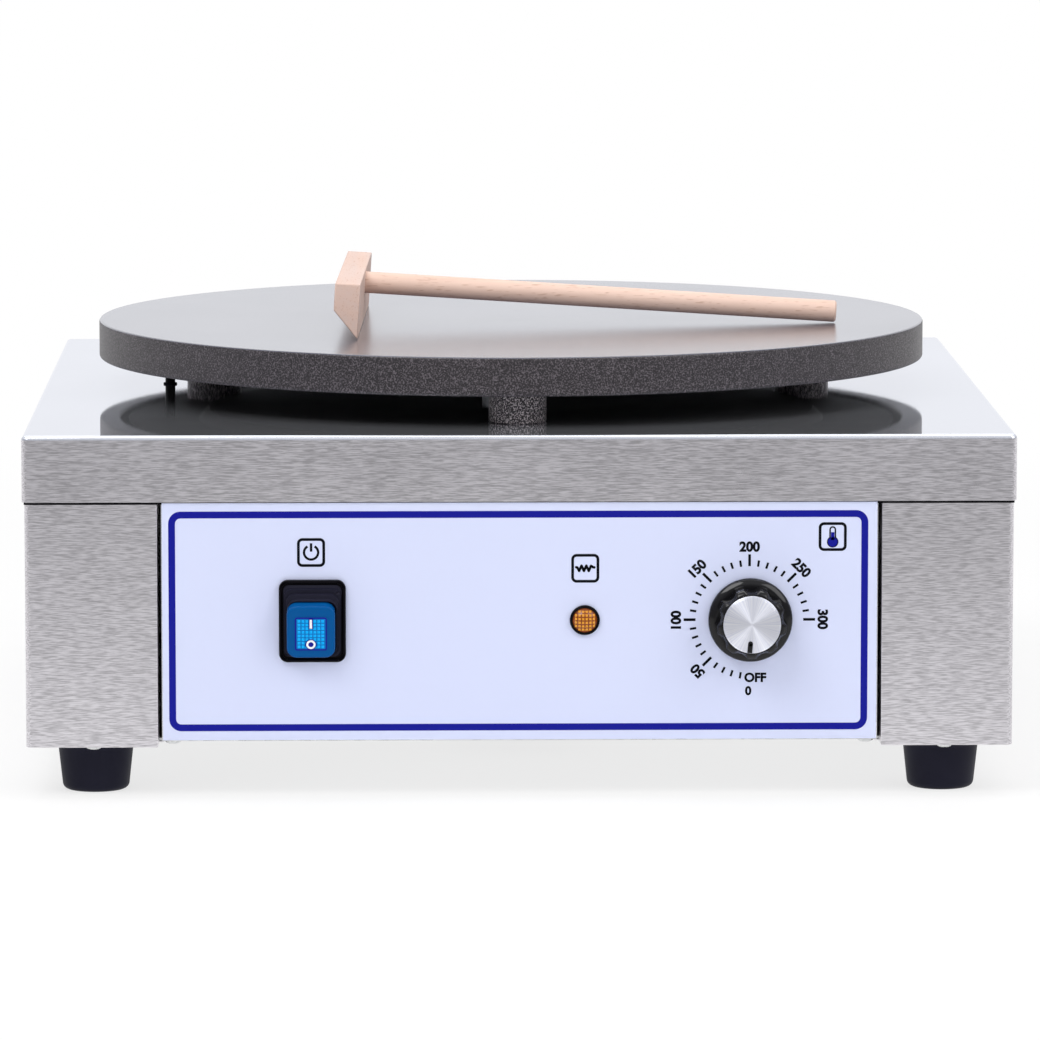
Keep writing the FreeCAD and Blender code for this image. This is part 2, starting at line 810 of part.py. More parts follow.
def sensor_bulb():
    middle, along = sensor_axis()
    start = middle - along * (sensor_length / 2)
    return Part.makeCylinder(sensor_radius, sensor_length, start, along)


def sensor_clips():
    """Two saddles that hold the bulb up against the plate."""
    middle, along = sensor_axis()
    half = sensor_radius + clip_wall
    clips = []
    for side in (-1, 1):
        clip = box(-clip_length / 2, clip_length / 2, -half, half, -sensor_radius - clip_wall, sensor_radius)
        groove = box(-clip_length, clip_length, -sensor_radius, sensor_radius, 0, sensor_radius)
        bore = Part.makeCylinder(sensor_radius, 2 * clip_length, Vector(-clip_length, 0, 0), Vector(1, 0, 0))
        clip = clip.cut([groove, bore])
        clip.rotate(Vector(0, 0, 0), Vector(0, 0, 1), sensor_angle - 90)
        place = middle + along * (side * clip_spread)
        clips.append(moved(clip, place.x, place.y, place.z))
    return clips


def sensor_capillary():
    """Thin tube from the bulb, down through the sleeve and across to the thermostat."""
    middle, along = sensor_axis()
    start = middle + along * (sensor_length / 2)
    to_sleeve = (sleeve_x - start.x) / along.x
    turn = start + along * to_sleeve
    above = Vector(sleeve_x, 0, start.z)
    below = Vector(sleeve_x, 0, skirt_bottom - 8)
    cross = Vector(sleeve_x + 50, panel_front + 75, skirt_bottom - 14)
    over = Vector(knob_x - 60, panel_front + 55, skirt_bottom - 18)
    behind = Vector(knob_x, panel_front + thermostat_depth / 2, skirt_bottom - 22)
    end = Vector(knob_x, panel_front + thermostat_depth / 2, control_height + thermostat_height / 2)
    route = [start, turn, above, below, cross, over, behind, end]
    return tube(route, capillary_radius, capillary_bend, CAPILLARY_SIDES)


def capillary_sleeve():
    low = deck_underside - brace_thickness - sleeve_below_deck
    height = boss_bottom - low
    bore = prism(SLEEVE_SIDES, sleeve_bore, height, sleeve_x, 0, low)
    return prism(SLEEVE_SIDES, sleeve_radius, height, sleeve_x, 0, low).cut(bore)


def sleeve_grommet():
    """Ring in the deck round the sleeve, with a lip on top."""
    low = deck_underside - brace_thickness
    neck = prism(SLEEVE_SIDES, grommet_neck, deck_top - low, sleeve_x, 0, low)
    lip = prism(DUCT_SIDES, grommet_radius, grommet_lip, sleeve_x, 0, deck_top)
    bore = prism(SLEEVE_SIDES, sleeve_radius, deck_top + grommet_lip - low, sleeve_x, 0, low)
    return neck.fuse(lip).cut(bore)


def thermostat_screw_xs():
    return [knob_x + side * thermostat_screw_spacing / 2 for side in (-1, 1)]


def countersunk_screw():
    """Screw with a flush conical head, along Z with its flat end at zero."""
    drop = m4_radius
    head = tapered(ring(HEAD_SIDES, m4_radius, -drop), ring(HEAD_SIDES, 2 * m4_radius))
    return head.fuse(prism(6, m4_radius, screw_length - drop, 0, 0, -screw_length))


def thermostat_body():
    """Case behind the panel, with the bush that the spindle turns in."""
    half_width = thermostat_width / 2
    half_height = thermostat_height / 2
    case = box(-half_width, half_width, -half_height, half_height, -thermostat_depth - sheet, -sheet)
    bush = prism(BARREL_SIDES, thermostat_bush_radius, sheet + overlay_thickness, 0, 0, -sheet)
    bore = rod(spindle_radius + running_gap, thermostat_depth, 0, 0, -thermostat_depth / 2)
    case = on_front(case.fuse(bush).cut(bore), knob_x, control_height, panel_front)
    return case.cut([on_front(countersunk_screw(), x, control_height, panel_front) for x in thermostat_screw_xs()])


def thermostat_screws():
    return [on_front(countersunk_screw(), x, control_height, panel_front) for x in thermostat_screw_xs()]


def blade(x, z, y):
    """Tab terminal that stands backwards from the plane y."""
    half = blade_width / 2
    return box(x - blade_thickness / 2, x + blade_thickness / 2, y, y + blade_length, z - half, z + half)


def thermostat_terminals():
    back = panel_front + sheet + thermostat_depth
    spacing = thermostat_width / 4
    return [blade(knob_x + column * spacing, control_height, back) for column in (-1, 0, 1)]


def spindle_tip():
    """Height of the spindle's end above the panel's face."""
    return overlay_thickness + knob_height - knob_bore_end


def spindle_cut():
    """Cutter for the spindle's flat, above the height where the knob grips it."""
    start = overlay_thickness + knob_back_gap + knob_bore_end
    return box(-spindle_radius, spindle_radius, spindle_radius - spindle_flat, 2 * spindle_radius, start,
               knob_height)


def knob_spindle():
    """Shaft with a flat for the knob."""
    inner = thermostat_depth / 2 - knob_back_gap
    shaft = rod(spindle_radius, inner + spindle_tip(), 0, 0, -inner)
    return on_front(shaft.cut(spindle_cut()), knob_x, control_height, panel_front)


def fluted_outline(radius, height):
    """Corners of an outline with a shallow hollow between each pair of lobes."""
    points = []
    for step in range(4 * flute_count):
        angle = 270 + 90.0 * step / flute_count
        hollow = (1 - math.cos(math.radians(flute_count * (angle - 270)))) / 2
        points.append(polar(radius * (1 - flute_share * hollow), angle, height))
    return points


def knob_body():
    """Bevelled skirt, and a fluted grip that tapers to the flat end under the metal cap."""
    edge_top = knob_back_gap + knob_skirt_edge
    skirt = prism(KNOB_SIDES, knob_skirt_radius, knob_skirt_edge, 0, 0, knob_back_gap)
    bevel = tapered(ring(KNOB_SIDES, knob_skirt_radius, edge_top), ring(KNOB_SIDES, knob_base_radius, knob_bevel_top))
    lobes = tapered(fluted_outline(knob_base_radius, knob_bevel_top), fluted_outline(knob_top_radius, knob_height))
    shaft = rod(spindle_radius, spindle_tip()).cut(spindle_cut())
    grip = skirt.fuse([bevel, lobes]).cut(moved(shaft, 0, 0, -overlay_thickness))
    return on_front(grip.fuse(pointer_bar()), knob_x, control_height, control_face)


def pointer_bar():
    """Bar that points down from near the middle of the cap to its edge."""
    half = pointer_width / 2
    edge = cap_radius - cap_chamfer
    return box(-half, half, -edge, pointer_length - edge, knob_height, knob_height + cap_thickness)


def knob_cap():
    """Spun metal disc with a slot for the pointer."""
    edge_top = knob_height + cap_thickness - cap_chamfer
    disc = prism(KNOB_SIDES, cap_radius, cap_thickness - cap_chamfer, 0, 0, knob_height)
    face = tapered(ring(KNOB_SIDES, cap_radius, edge_top),
                   ring(KNOB_SIDES, cap_radius - cap_chamfer, edge_top + cap_chamfer))
    half = pointer_width / 2 + press_gap
    slot_end = pointer_length + cap_chamfer - cap_radius + press_gap
    slot = box(-half, half, -cap_radius, slot_end, knob_height, knob_height + cap_thickness)
    return on_front(disc.fuse(face).cut(slot), knob_x, control_height, control_face)


def switch_bezel():
    """Frame of the switch on the panel's face."""
    frame = rounded_prism(bezel_width, bezel_height, bezel_corner, 0, bezel_front)
    inner_width = bezel_width - 2 * bezel_frame
    inner_height = bezel_height - 2 * bezel_frame
    pocket = rounded_prism(inner_width, inner_height, bezel_corner - bezel_frame, bezel_back, bezel_front)
    half_width = switch_body_width / 2 - switch_wall
    half_height = switch_body_height / 2 - switch_wall
    opening = box(-half_width, half_width, -half_height, half_height, -1, bezel_front)
    return on_front(frame.cut([pocket, opening]), switch_x, control_height, control_face)


def switch_boot():
    """Rubber boot that seals the frame, open in the middle for the rocker's swing."""
    width = bezel_width - 2 * (bezel_frame + boot_gap)
    height = bezel_height - 2 * (bezel_frame + boot_gap)
    corner = bezel_corner - bezel_frame
    ring = rounded_prism(width, height, corner, bezel_back, boot_front - bezel_back)
    opening = rounded_prism(width - 2 * boot_wall, height - 2 * boot_wall, corner - boot_wall, 0, boot_front + 1)
    return on_front(ring.cut(opening), switch_x, control_height, control_face)


def switch_body():
    """Case behind the panel with a pocket for the rocker's arm and holes for its trunnions."""
    half_width = switch_body_width / 2
    half_height = switch_body_height / 2
    case = box(-half_width, half_width, -half_height, half_height, -switch_body_depth, 0)
    pocket = box(switch_wall - half_width, half_width - switch_wall, switch_wall - half_height,
                 half_height - switch_wall, -switch_cavity_depth, 1)
    case = case.cut(pocket)
    hole = trunnion_pin(trunnion_radius + running_gap, trunnion_length + running_gap)
    return on_front(case.cut(hole), switch_x, control_height, control_face)


def trunnion_pin(radius, length):
    """Pin across the pocket at the rocker's axis, reaching into both walls."""
    half = switch_body_width / 2 - switch_wall + length
    return Part.makeCylinder(radius, 2 * half, Vector(-half, 0, -rocker_pivot_depth), Vector(1, 0, 0))


def switch_terminals():
    back = control_face + switch_body_depth
    half_x = switch_body_width / 4
    half_z = switch_body_height / 4
    return [blade(switch_x + sx * half_x, control_height + sz * half_z, back) for sx in (-1, 1) for sz in (-1, 1)]


def tilted(shape):
    """Put a rocker piece in its resting tilt, with the lower end pressed in."""
    copy = shape.copy()
    copy.rotate(Vector(0, 0, -rocker_pivot_depth), Vector(1, 0, 0), rocker_tilt)
    return on_front(copy, switch_x, control_height, control_face)


def rocker_face():
    return rocker_reach - rocker_pivot_depth


def window_block(depth, gap):
    half_width = window_width / 2 + gap
    half_height = window_height / 2 + gap
    middle = -window_drop
    return box(-half_width, half_width, middle - half_height, middle + half_height, rocker_face() - depth,
               rocker_face() - depth + window_depth)


def rocker_cap():
    """Moulded button with round corners, a chamfered face and a pocket for the lit window."""
    face = rocker_face()
    cap = rounded_prism(rocker_width, rocker_face_height, rocker_corner, face - rocker_thickness, rocker_thickness)
    edges = [e for e in cap.Edges if abs(e.BoundBox.ZMin - face) < 1e-6]
    cap = cap.makeChamfer(rocker_edge, edges)
    pocket = window_block(window_recess + window_depth, press_gap)
    opening = window_block(window_recess, press_gap)
    return tilted(cap.cut([pocket, opening]))


def rocker_window():
    return tilted(window_block(window_recess + window_depth, 0))


def rocker_arm():
    """Arm from the button down past the trunnions that it rocks on."""
    half = arm_height / 2
    top = rocker_face() - rocker_thickness
    arm = box(-arm_width / 2, arm_width / 2, -half, half, -rocker_pivot_depth - half, top)
    return tilted(arm.fuse(trunnion_pin(trunnion_radius, trunnion_length)))


def lamp_body():
    """Barrel through the panel with a thin rim round the lens."""
    seat = lamp_rim_height / 2
    rim = prism(LENS_SIDES, lamp_rim_radius, lamp_rim_height)
    rim = rim.cut(prism(LENS_SIDES, lens_radius, lamp_rim_height, 0, 0, seat))
    barrel = prism(BARREL_SIDES, lamp_barrel_radius, lamp_depth, 0, 0, -lamp_depth)
    return on_front(rim.fuse(barrel), lamp_x, control_height, control_face)


def lamp_lens():
    """Raised amber lens seated in the rim."""
    seat = lamp_rim_height / 2
    top = lamp_rim_height + lens_height
    foot = prism(LENS_SIDES, lens_radius, lamp_rim_height - seat, 0, 0, seat)
    crown = tapered(ring(LENS_SIDES, lens_radius, lamp_rim_height),
                    ring(LENS_SIDES, lens_top_share * lens_radius, top))
    return on_front(foot.fuse(crown), lamp_x, control_height, control_face)


def lamp_nut():
    """Push-on ring behind the panel."""
    low = -sheet - lamp_nut_height
    ring = prism(BARREL_SIDES, lamp_nut_radius, lamp_nut_height, 0, 0, low)
    ring = ring.cut(prism(BARREL_SIDES, lamp_barrel_radius, lamp_nut_height, 0, 0, low))
    return on_front(ring, lamp_x, control_height, panel_front)


def gland_body():
    """Threaded barrel through the rear wall with a hexagon outside and a cup for the seal."""
    shape = prism(GLAND_SIDES, gland_thread_radius, gland_inside + gland_flange + gland_cup_height, 0, 0,
                  -gland_inside)
    shape = shape.fuse(hexagon(gland_flats, 0, gland_flange))
    shape = shape.cut([prism(GLAND_SIDES, gland_bore, gland_inside + gland_flange, 0, 0, -gland_inside),
                       prism(GLAND_SIDES, gland_cup_radius, gland_cup_height, 0, 0, gland_flange)])
    return on_rear(shape, gland_x, gland_z, rear_wall)


def gland_seal():
    ring = prism(GLAND_SIDES, gland_cup_radius, gland_cup_height, 0, 0, gland_flange)
    ring = ring.cut(rod(cable_radius, gland_cup_height, 0, 0, gland_flange))
    return on_rear(ring, gland_x, gland_z, rear_wall)


def gland_cap():
    """Domed nut that squeezes the seal on to the cable."""
    low = gland_flange + hole_gap
    nose = low + gland_cap_flats_length
    top = low + gland_cap_height
    grip = hexagon(gland_flats, low, gland_cap_flats_length)
    dome = tapered(ring(GLAND_SIDES, gland_flats / 2, nose), ring(GLAND_SIDES, gland_cap_nose, top))
    cavity = gland_flange + gland_cup_height - low
    bores = [prism(GLAND_SIDES, gland_thread_radius, cavity, 0, 0, low),
             around(GLAND_SIDES, gland_cap_bore, gland_cap_height, 0, 0, low)]
    return on_rear(grip.fuse(dome).cut(bores), gland_x, gland_z, rear_wall)


def gland_locknut():
    low = -sheet - gland_locknut_height
    nut = hexagon(gland_flats, low, gland_locknut_height)
    nut = nut.cut(prism(GLAND_SIDES, gland_thread_radius, gland_locknut_height, 0, 0, low))
    return on_rear(nut, gland_x, gland_z, rear_wall)


def block_pole_xs():
    pitch = block_length / block_poles
    return [gland_x + pitch * (pole - (block_poles - 1) / 2) for pole in range(block_poles)]


def terminal_block():
    """Ceramic block with a post for each pole, open at its sides for the leads."""
    low = base_top
    block = box(gland_x - block_length / 2, gland_x + block_length / 2, block_y - block_depth / 2,
                block_y + block_depth / 2, low, low + block_base)
    half = block_length / block_poles / 2 - 1.5
    for x in block_pole_xs():
        post = box(x - half, x + half, block_y - block_depth / 2, block_y + block_depth / 2,
                   low + block_base, low + block_base + block_post)
        block = block.fuse(post)
    wells = []
    for x in block_pole_xs():
        for side in (-1, 1):
            wells.append(screw_hole(m4_radius, block_post, x, block_y + side * block_depth / 4, low + block_base))
    return block.cut(wells)


def terminal_screws():
    screw = prism(6, m4_radius, block_post - washer_thickness)
    return [moved(screw, x, block_y + side * block_depth / 4, base_top + block_base)
            for x in block_pole_xs() for side in (-1, 1)]


def earth_stud():
    """Stud through the base plate with a nut under the earth lead."""
    stud = prism(6, stud_radius, stud_length, stud_x, block_y, base_top - sheet)
    nut = moved(hex_nut(m5_flats, m5_nut_height, stud_radius), stud_x, block_y, base_top)
    return [stud, nut]


def wiring_loom():
    """Main runs of wire: mains block to switch, switch to thermostat, and thermostat to the duct."""
    block_top = base_top + block_base + block_post
    switch_back = control_face + switch_body_depth + blade_length + lead_radius
    thermostat_back = panel_front + sheet + thermostat_depth + blade_length + lead_radius
    front_y = switch_back + 18
    supply = [Vector(gland_x, block_y - block_depth / 2 - 1, base_top + block_base + block_post / 2),
              Vector(gland_x, block_y - 60, base_top + lead_radius + 4),
              Vector(switch_x + 60, 0, base_top + lead_radius + 4),
              Vector(switch_x, front_y, base_top + lead_radius + 4),
              Vector(switch_x, switch_back, control_height - 12)]
    switched = [Vector(switch_x + 8, switch_back, control_height),
                Vector(switch_x + 30, front_y + 12, control_height - 8),
                Vector(knob_x - 45, front_y + 18, control_height - 10),
                Vector(knob_x - 6, thermostat_back, control_height)]
    to_plate = [Vector(knob_x + 8, thermostat_back, control_height),
                Vector(knob_x - 20, thermostat_back + 50, control_height + 8),
                Vector(coil_start_radius, -30, block_top + 60),
                Vector(0, 0, deck_underside - duct_below_deck - 14),
                Vector(0, 0, deck_top - 4)]
    return [tube(route, lead_radius, lead_bend, LEAD_SIDES) for route in (supply, switched, to_plate)]


def spreader_placed(shape):
    """Lay a spreader piece on the plate: the head on its edge and the handle's far end down."""
    copy = shape.copy()
    copy.rotate(Vector(0, 0, 0), Vector(0, 1, 0), spreader_tilt)
    copy.rotate(Vector(0, 0, 0), Vector(0, 0, 1), spreader_yaw)
    return moved(copy, spreader_x, spreader_y, plate_top + spreader_gap)


def spreader_head():
    """Beech bar with one long bevel down to its lower edge, and a blind hole for the handle."""
    half = head_length / 2
    points = [Vector(0, -half, 0), Vector(0, -half, head_height), Vector(-head_width, -half, head_height)]
    points += [Vector(-head_width, -half, head_height - head_back_height), Vector(0, -half, 0)]
    bar = Part.Face(Part.makePolygon(points)).extrude(Vector(0, head_length, 0))
    socket = Part.makeCylinder(handle_radius, handle_socket + 1, Vector(-handle_socket, 0, handle_height),
                               Vector(1, 0, 0))
    return spreader_placed(bar.cut(socket))


def spreader_handle():
    """Straight dowel with a softened far end."""
    length = handle_socket + handle_length
    edge = handle_end_chamfer
    dowel = lathe([(0, 0, 0), (handle_radius, 0, 0), (handle_radius, length - edge, 0),
                   (handle_radius - edge, length, 0), (0, length, 0)])
    dowel.rotate(Vector(0, 0, 0), Vector(0, 1, 0), 90)
    return spreader_placed(moved(dowel, -handle_socket, 0, handle_height))


def export(name, shape):
    solids = shape if isinstance(shape, list) else [shape]
    whole = Part.makeCompound(solids) if len(solids) > 1 else solids[0]
    whole.exportStep(os.path.join("parts", name + ".step"))


def main():
    os.makedirs("parts", exist_ok=True)
    makers = [
        housing_wrap, deck_cover, deck_reinforcement, control_panel, panel_overlay, base_plate,
        base_screws, panel_screws, deck_screws, feet, foot_screws, foot_nuts, griddle_plate, heating_element,
        element_clamp_bars, clamp_bolts, insulation_pad, heat_shield, support_legs, leg_bolts, leg_washers,
        centre_duct, duct_locknut, sensor_bulb, sensor_clips, sensor_capillary, capillary_sleeve,
        sleeve_grommet, thermostat_body, thermostat_screws, thermostat_terminals, knob_body, knob_cap,
        knob_spindle, switch_bezel, switch_boot, switch_body, switch_terminals, rocker_cap,
        rocker_window, rocker_arm, lamp_lens, lamp_body, lamp_nut, gland_body, gland_seal, gland_cap,
        gland_locknut, terminal_block, terminal_screws, earth_stud, wiring_loom, spreader_head,
        spreader_handle,
    ]
    for make in makers:
        export(make.__name__, make())



main()
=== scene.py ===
import bmesh
import bpy
import json
from math import atan2, cos, hypot, inf, pi, radians, sin
from mathutils import Matrix, Vector

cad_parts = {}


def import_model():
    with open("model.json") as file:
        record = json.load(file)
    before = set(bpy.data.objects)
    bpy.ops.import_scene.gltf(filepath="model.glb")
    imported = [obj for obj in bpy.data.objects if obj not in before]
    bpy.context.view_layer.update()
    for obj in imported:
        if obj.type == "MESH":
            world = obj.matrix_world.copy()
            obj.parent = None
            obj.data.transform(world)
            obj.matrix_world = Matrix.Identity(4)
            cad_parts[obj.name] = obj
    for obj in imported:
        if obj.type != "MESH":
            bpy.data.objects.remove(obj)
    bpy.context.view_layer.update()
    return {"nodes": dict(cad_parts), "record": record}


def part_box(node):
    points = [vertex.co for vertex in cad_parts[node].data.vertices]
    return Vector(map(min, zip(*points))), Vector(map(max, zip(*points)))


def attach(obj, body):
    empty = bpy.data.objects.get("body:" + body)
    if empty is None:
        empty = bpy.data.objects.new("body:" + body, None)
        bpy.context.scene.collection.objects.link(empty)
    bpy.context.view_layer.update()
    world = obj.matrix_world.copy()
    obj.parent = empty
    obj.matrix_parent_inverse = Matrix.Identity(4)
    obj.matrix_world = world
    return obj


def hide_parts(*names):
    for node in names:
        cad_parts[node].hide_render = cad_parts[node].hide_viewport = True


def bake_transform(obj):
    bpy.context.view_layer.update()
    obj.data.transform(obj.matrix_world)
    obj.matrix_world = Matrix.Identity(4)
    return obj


# Looks of an electric crepe maker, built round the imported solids. Metres, +X to the right of someone
# who faces the control panel, +Y away from them, +Z up, the origin on the worktop under the plate.

MM = 0.001
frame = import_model()
scene = bpy.context.scene
nodes = frame["nodes"]
record = frame["record"]
BODY_OF = {name: body for body, names in record["behaviour"]["bodies"].items() for name in names}
SLOT_OF = {part["node"]: part["material_slot"] for part in record["subparts"]}


def low(name):
    return Vector(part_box(name)[0])


def high(name):
    return Vector(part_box(name)[1])


def middle(name):
    return (low(name) + high(name)) / 2


# Places taken from the solids
PLATE_RADIUS = (high("griddle_plate").x - low("griddle_plate").x) / 2
PLATE_TOP = high("griddle_plate").z
PLATE_BOTTOM = low("griddle_plate").z
PLATE_CEILING = high("heating_element").z
DECK_TOP = high("deck_cover").z
SKIRT_BOTTOM = low("deck_cover").z
PANEL_FACE = low("panel_overlay").y
CONTROL_HEIGHT = middle("switch_bezel").z
SWITCH_X = middle("switch_bezel").x
LAMP_X = middle("lamp_lens").x
KNOB_X = middle("knob_cap").x
FOOT_TOP = high("feet").z

# Sizes that the solids' boxes don't give, and turns in degrees
LEG_CIRCLE_RADIUS = 168 * MM
LEG_ANGLES = (270, 30, 150)
LEG_RADIUS = 13.3 * MM
BOSS_RADIUS = 15 * MM
RIM_THICKNESS = 10 * MM
RIM_ROUNDING = 1.2 * MM
SHEET = 1 * MM
FOOT_RADIUS = 17.7 * MM
FOOT_BORE_DEPTH = 12 * MM
SCREW_HEAD_RADIUS = 3.7 * MM
SCREW_HEAD_HEIGHT = 2 * MM
PRINT_THICKNESS = 0.06 * MM
LETTER_WEIGHT = 0.045
DIAL_OFF = 270
TICK_TURN = 9
POINTER_TURN = -5
ROCKER_TILT = 12
ROCKER_PIVOT = 7.6 * MM
ROCKER_FACE = 11.4 * MM
LENS_RADIUS = 5.6 * MM
LENS_RISE = 2.6 * MM
LENS_FOOT = 1.2 * MM
KNOB_RADIUS = 19.1 * MM
KNOB_CAP_RADIUS = 13 * MM
KNOB_CAP_FACE = 17.95 * MM
RING_SPACING = 0.35 * MM

# Limits for comparing corners and faces
SAME_PLACE = 1e-7
WELD = 1e-6
CRISP_AREA_RATIO = 8


# Finishes

def shader_group(name, inputs, outputs):
    """Empty shader node group with number inputs and named outputs, and its two end nodes."""
    group = bpy.data.node_groups.new(name, "ShaderNodeTree")
    for label, default in inputs.items():
        socket = group.interface.new_socket(label, in_out="INPUT", socket_type="NodeSocketFloat")
        socket.default_value = default
    for label in outputs:
        group.interface.new_socket(label, in_out="OUTPUT", socket_type="NodeSocketFloat")
    return group, group.nodes.new("NodeGroupInput"), group.nodes.new("NodeGroupOutput")


def node(tree, kind, settings=None, **links):
    """New node with settings, and links or plain values for its inputs, by name or as i0, i1 by number."""
    new = tree.nodes.new(kind)
    for key, value in (settings or {}).items():
        setattr(new, key, value)
    for label, source in links.items():
        by_number = label[0] == "i" and label[1:].isdigit()
        socket = new.inputs[int(label[1:]) if by_number else label]
        if isinstance(source, bpy.types.NodeSocket):
            tree.links.new(source, socket)
        else:
            socket.default_value = source
    return new


def math_node(tree, operation, first, second=0.0):
    """Result of one calculation on numbers or links."""
    return node(tree, "ShaderNodeMath", {"operation": operation}, i0=first, i1=second).outputs[0]


def stretched_noise(tree, coords, stretch, detail):
    """Noise on object coordinates multiplied by a stretch along each axis."""
    place = node(tree, "ShaderNodeVectorMath", {"operation": "MULTIPLY"}, i0=coords, i1=stretch)
    noise = node(tree, "ShaderNodeTexNoise", Vector=place.outputs[0], Scale=1.0, Detail=detail)
    return noise.outputs["Fac"]


def brushed_group():
    """Fine lines along the sheet: across every face they are close together, along it they are long."""
    group, _, end = shader_group("brushed_lines", {}, ["Lines"])
    coords = group.nodes.new("ShaderNodeTexCoord").outputs["Object"]
    facing = group.nodes.new("ShaderNodeNewGeometry").outputs["Normal"]
    sideways = node(group, "ShaderNodeSeparateXYZ", Vector=facing).outputs["X"]
    on_side = math_node(group, "GREATER_THAN", math_node(group, "ABSOLUTE", sideways), 0.7)
    front = stretched_noise(group, coords, (190, 2500, 2500), 3.0)
    side = stretched_noise(group, coords, (2500, 190, 2500), 3.0)
    mix = node(group, "ShaderNodeMix", Factor=on_side, i2=front, i3=side)
    lines = node(group, "ShaderNodeMapRange", Value=mix.outputs[0], i1=0.37, i2=0.63)
    group.links.new(lines.outputs["Result"], end.inputs["Lines"])
    return group


def speckle_group():
    """Fine grains of a sprayed and fired coat."""
    group, start, end = shader_group("enamel_speckle", {"Grain": 1500.0}, ["Speck", "Height"])
    coords = group.nodes.new("ShaderNodeTexCoord").outputs["Object"]
    fine = node(group, "ShaderNodeTexNoise", Vector=coords, Scale=start.outputs["Grain"], Detail=2.0)
    raised = fine.outputs["Fac"]
    speck = node(group, "ShaderNodeMapRange", Value=raised, i1=0.48, i2=0.66)
    group.links.new(speck.outputs["Result"], end.inputs["Speck"])
    group.links.new(raised, end.inputs["Height"])
    return group


def handling_group():
    """Broad, faint patches left by wiping and touch."""
    group, start, end = shader_group("handling", {"Patch": 18.0, "Low": 0.0, "High": 1.0}, ["Patches"])
    coords = group.nodes.new("ShaderNodeTexCoord").outputs["Object"]
    patch = node(group, "ShaderNodeTexNoise", Vector=coords, Scale=start.outputs["Patch"], Detail=5.0)
    spread = node(group, "ShaderNodeMapRange", Value=patch.outputs["Fac"], i1=0.3, i2=0.7,
                  i3=start.outputs["Low"], i4=start.outputs["High"])
    group.links.new(spread.outputs["Result"], end.inputs["Patches"])
    return group


def moulded_group():
    """Fine spark-eroded surface of a mould."""
    group, start, end = shader_group("moulded_skin", {"Grain": 1800.0}, ["Height"])
    coords = group.nodes.new("ShaderNodeTexCoord").outputs["Object"]
    skin = node(group, "ShaderNodeTexNoise", Vector=coords, Scale=start.outputs["Grain"], Detail=3.0)
    group.links.new(skin.outputs["Fac"], end.inputs["Height"])
    return group


def wood_group():
    """Straight beech grain along one axis, with short dark flecks."""
    group, start, end = shader_group("beech_grain", {"Along X": 1.0}, ["Figure", "Flecks"])
    coords = group.nodes.new("ShaderNodeTexCoord").outputs["Object"]
    across = stretched_noise(group, coords, (9, 220, 220), 4.0)
    along = stretched_noise(group, coords, (220, 9, 220), 4.0)
    figure = node(group, "ShaderNodeMix", Factor=start.outputs["Along X"], i2=along, i3=across)
    fleck_x = stretched_noise(group, coords, (160, 1500, 1500), 1.0)
    fleck_y = stretched_noise(group, coords, (1500, 160, 1500), 1.0)
    flecks = node(group, "ShaderNodeMix", Factor=start.outputs["Along X"], i2=fleck_y, i3=fleck_x)
    dark = node(group, "ShaderNodeMapRange", Value=flecks.outputs[0], i1=0.62, i2=0.72)
    group.links.new(figure.outputs[0], end.inputs["Figure"])
    group.links.new(dark.outputs["Result"], end.inputs["Flecks"])
    return group


GROUPS = {make.__name__: make() for make in (brushed_group, speckle_group, handling_group, moulded_group,
                                             wood_group)}


class Finish:
    """A material under construction: its tree, its shader and short ways to vary them over the surface."""

    def __init__(self, name, colour, roughness, metallic=0.0, **sockets):
        self.material = bpy.data.materials.new(name)
        self.material.use_nodes = True
        self.material.diffuse_color = (*colour, 1.0)
        self.tree = self.material.node_tree
        self.shader = self.tree.nodes["Principled BSDF"]
        self.colour = colour
        self.shader.inputs["Base Color"].default_value = (*colour, 1.0)
        self.shader.inputs["Roughness"].default_value = roughness
        self.shader.inputs["Metallic"].default_value = metallic
        for label, value in sockets.items():
            self.shader.inputs[label.replace("_", " ")].default_value = value

    def effect(self, maker, **values):
        """One of the shared effects, with its own values."""
        group = self.tree.nodes.new("ShaderNodeGroup")
        group.node_tree = GROUPS[maker]
        for label, value in values.items():
            group.inputs[label.replace("_", " ")].default_value = value
        return group.outputs

    def tint(self, mask, colour):
        """Fade the base colour to another one where the mask is 1."""
        socket = self.shader.inputs["Base Color"]
        before = socket.links[0].from_socket if socket.links else (*self.colour, 1.0)
        mix = node(self.tree, "ShaderNodeMix", {"data_type": "RGBA"}, i0=mask, i6=before, i7=(*colour, 1.0))
        self.tree.links.new(mix.outputs[2], socket)

    def rough(self, mask, least, most):
        """Spread the roughness from least to most over the mask."""
        spread = node(self.tree, "ShaderNodeMapRange", Value=mask, i3=least, i4=most)
        self.tree.links.new(spread.outputs["Result"], self.shader.inputs["Roughness"])

    def bump(self, height, depth):
        """Raise the surface's shading by a height of 0 to 1 times the depth."""
        bump = node(self.tree, "ShaderNodeBump", Strength=1.0, Distance=depth, Height=height)
        self.tree.links.new(bump.outputs["Normal"], self.shader.inputs["Normal"])


def steel(name, colour, least, most, depth, contrast=0.7, metallic=1.0):
    """Brushed sheet or plated steel with faint handling marks.

    A metallic share below 1 adds a satin haze to what it mirrors."""
    finish = Finish(name, colour, least, metallic)
    lines = finish.effect("brushed_group")["Lines"]
    patches = finish.effect("handling_group", Patch=14.0)["Patches"]
    zones = finish.effect("handling_group", Patch=5.0, High=0.16)["Patches"]
    finish.tint(lines, [contrast * part for part in colour])
    finish.tint(zones, [0.5 * part for part in colour])
    finish.rough(patches, least, most)
    finish.bump(lines, depth)
    return finish.material


def steel_brushed():
    return steel("steel_brushed", (0.905, 0.88, 0.92), 0.27, 0.35, 0.000008, 0.58)


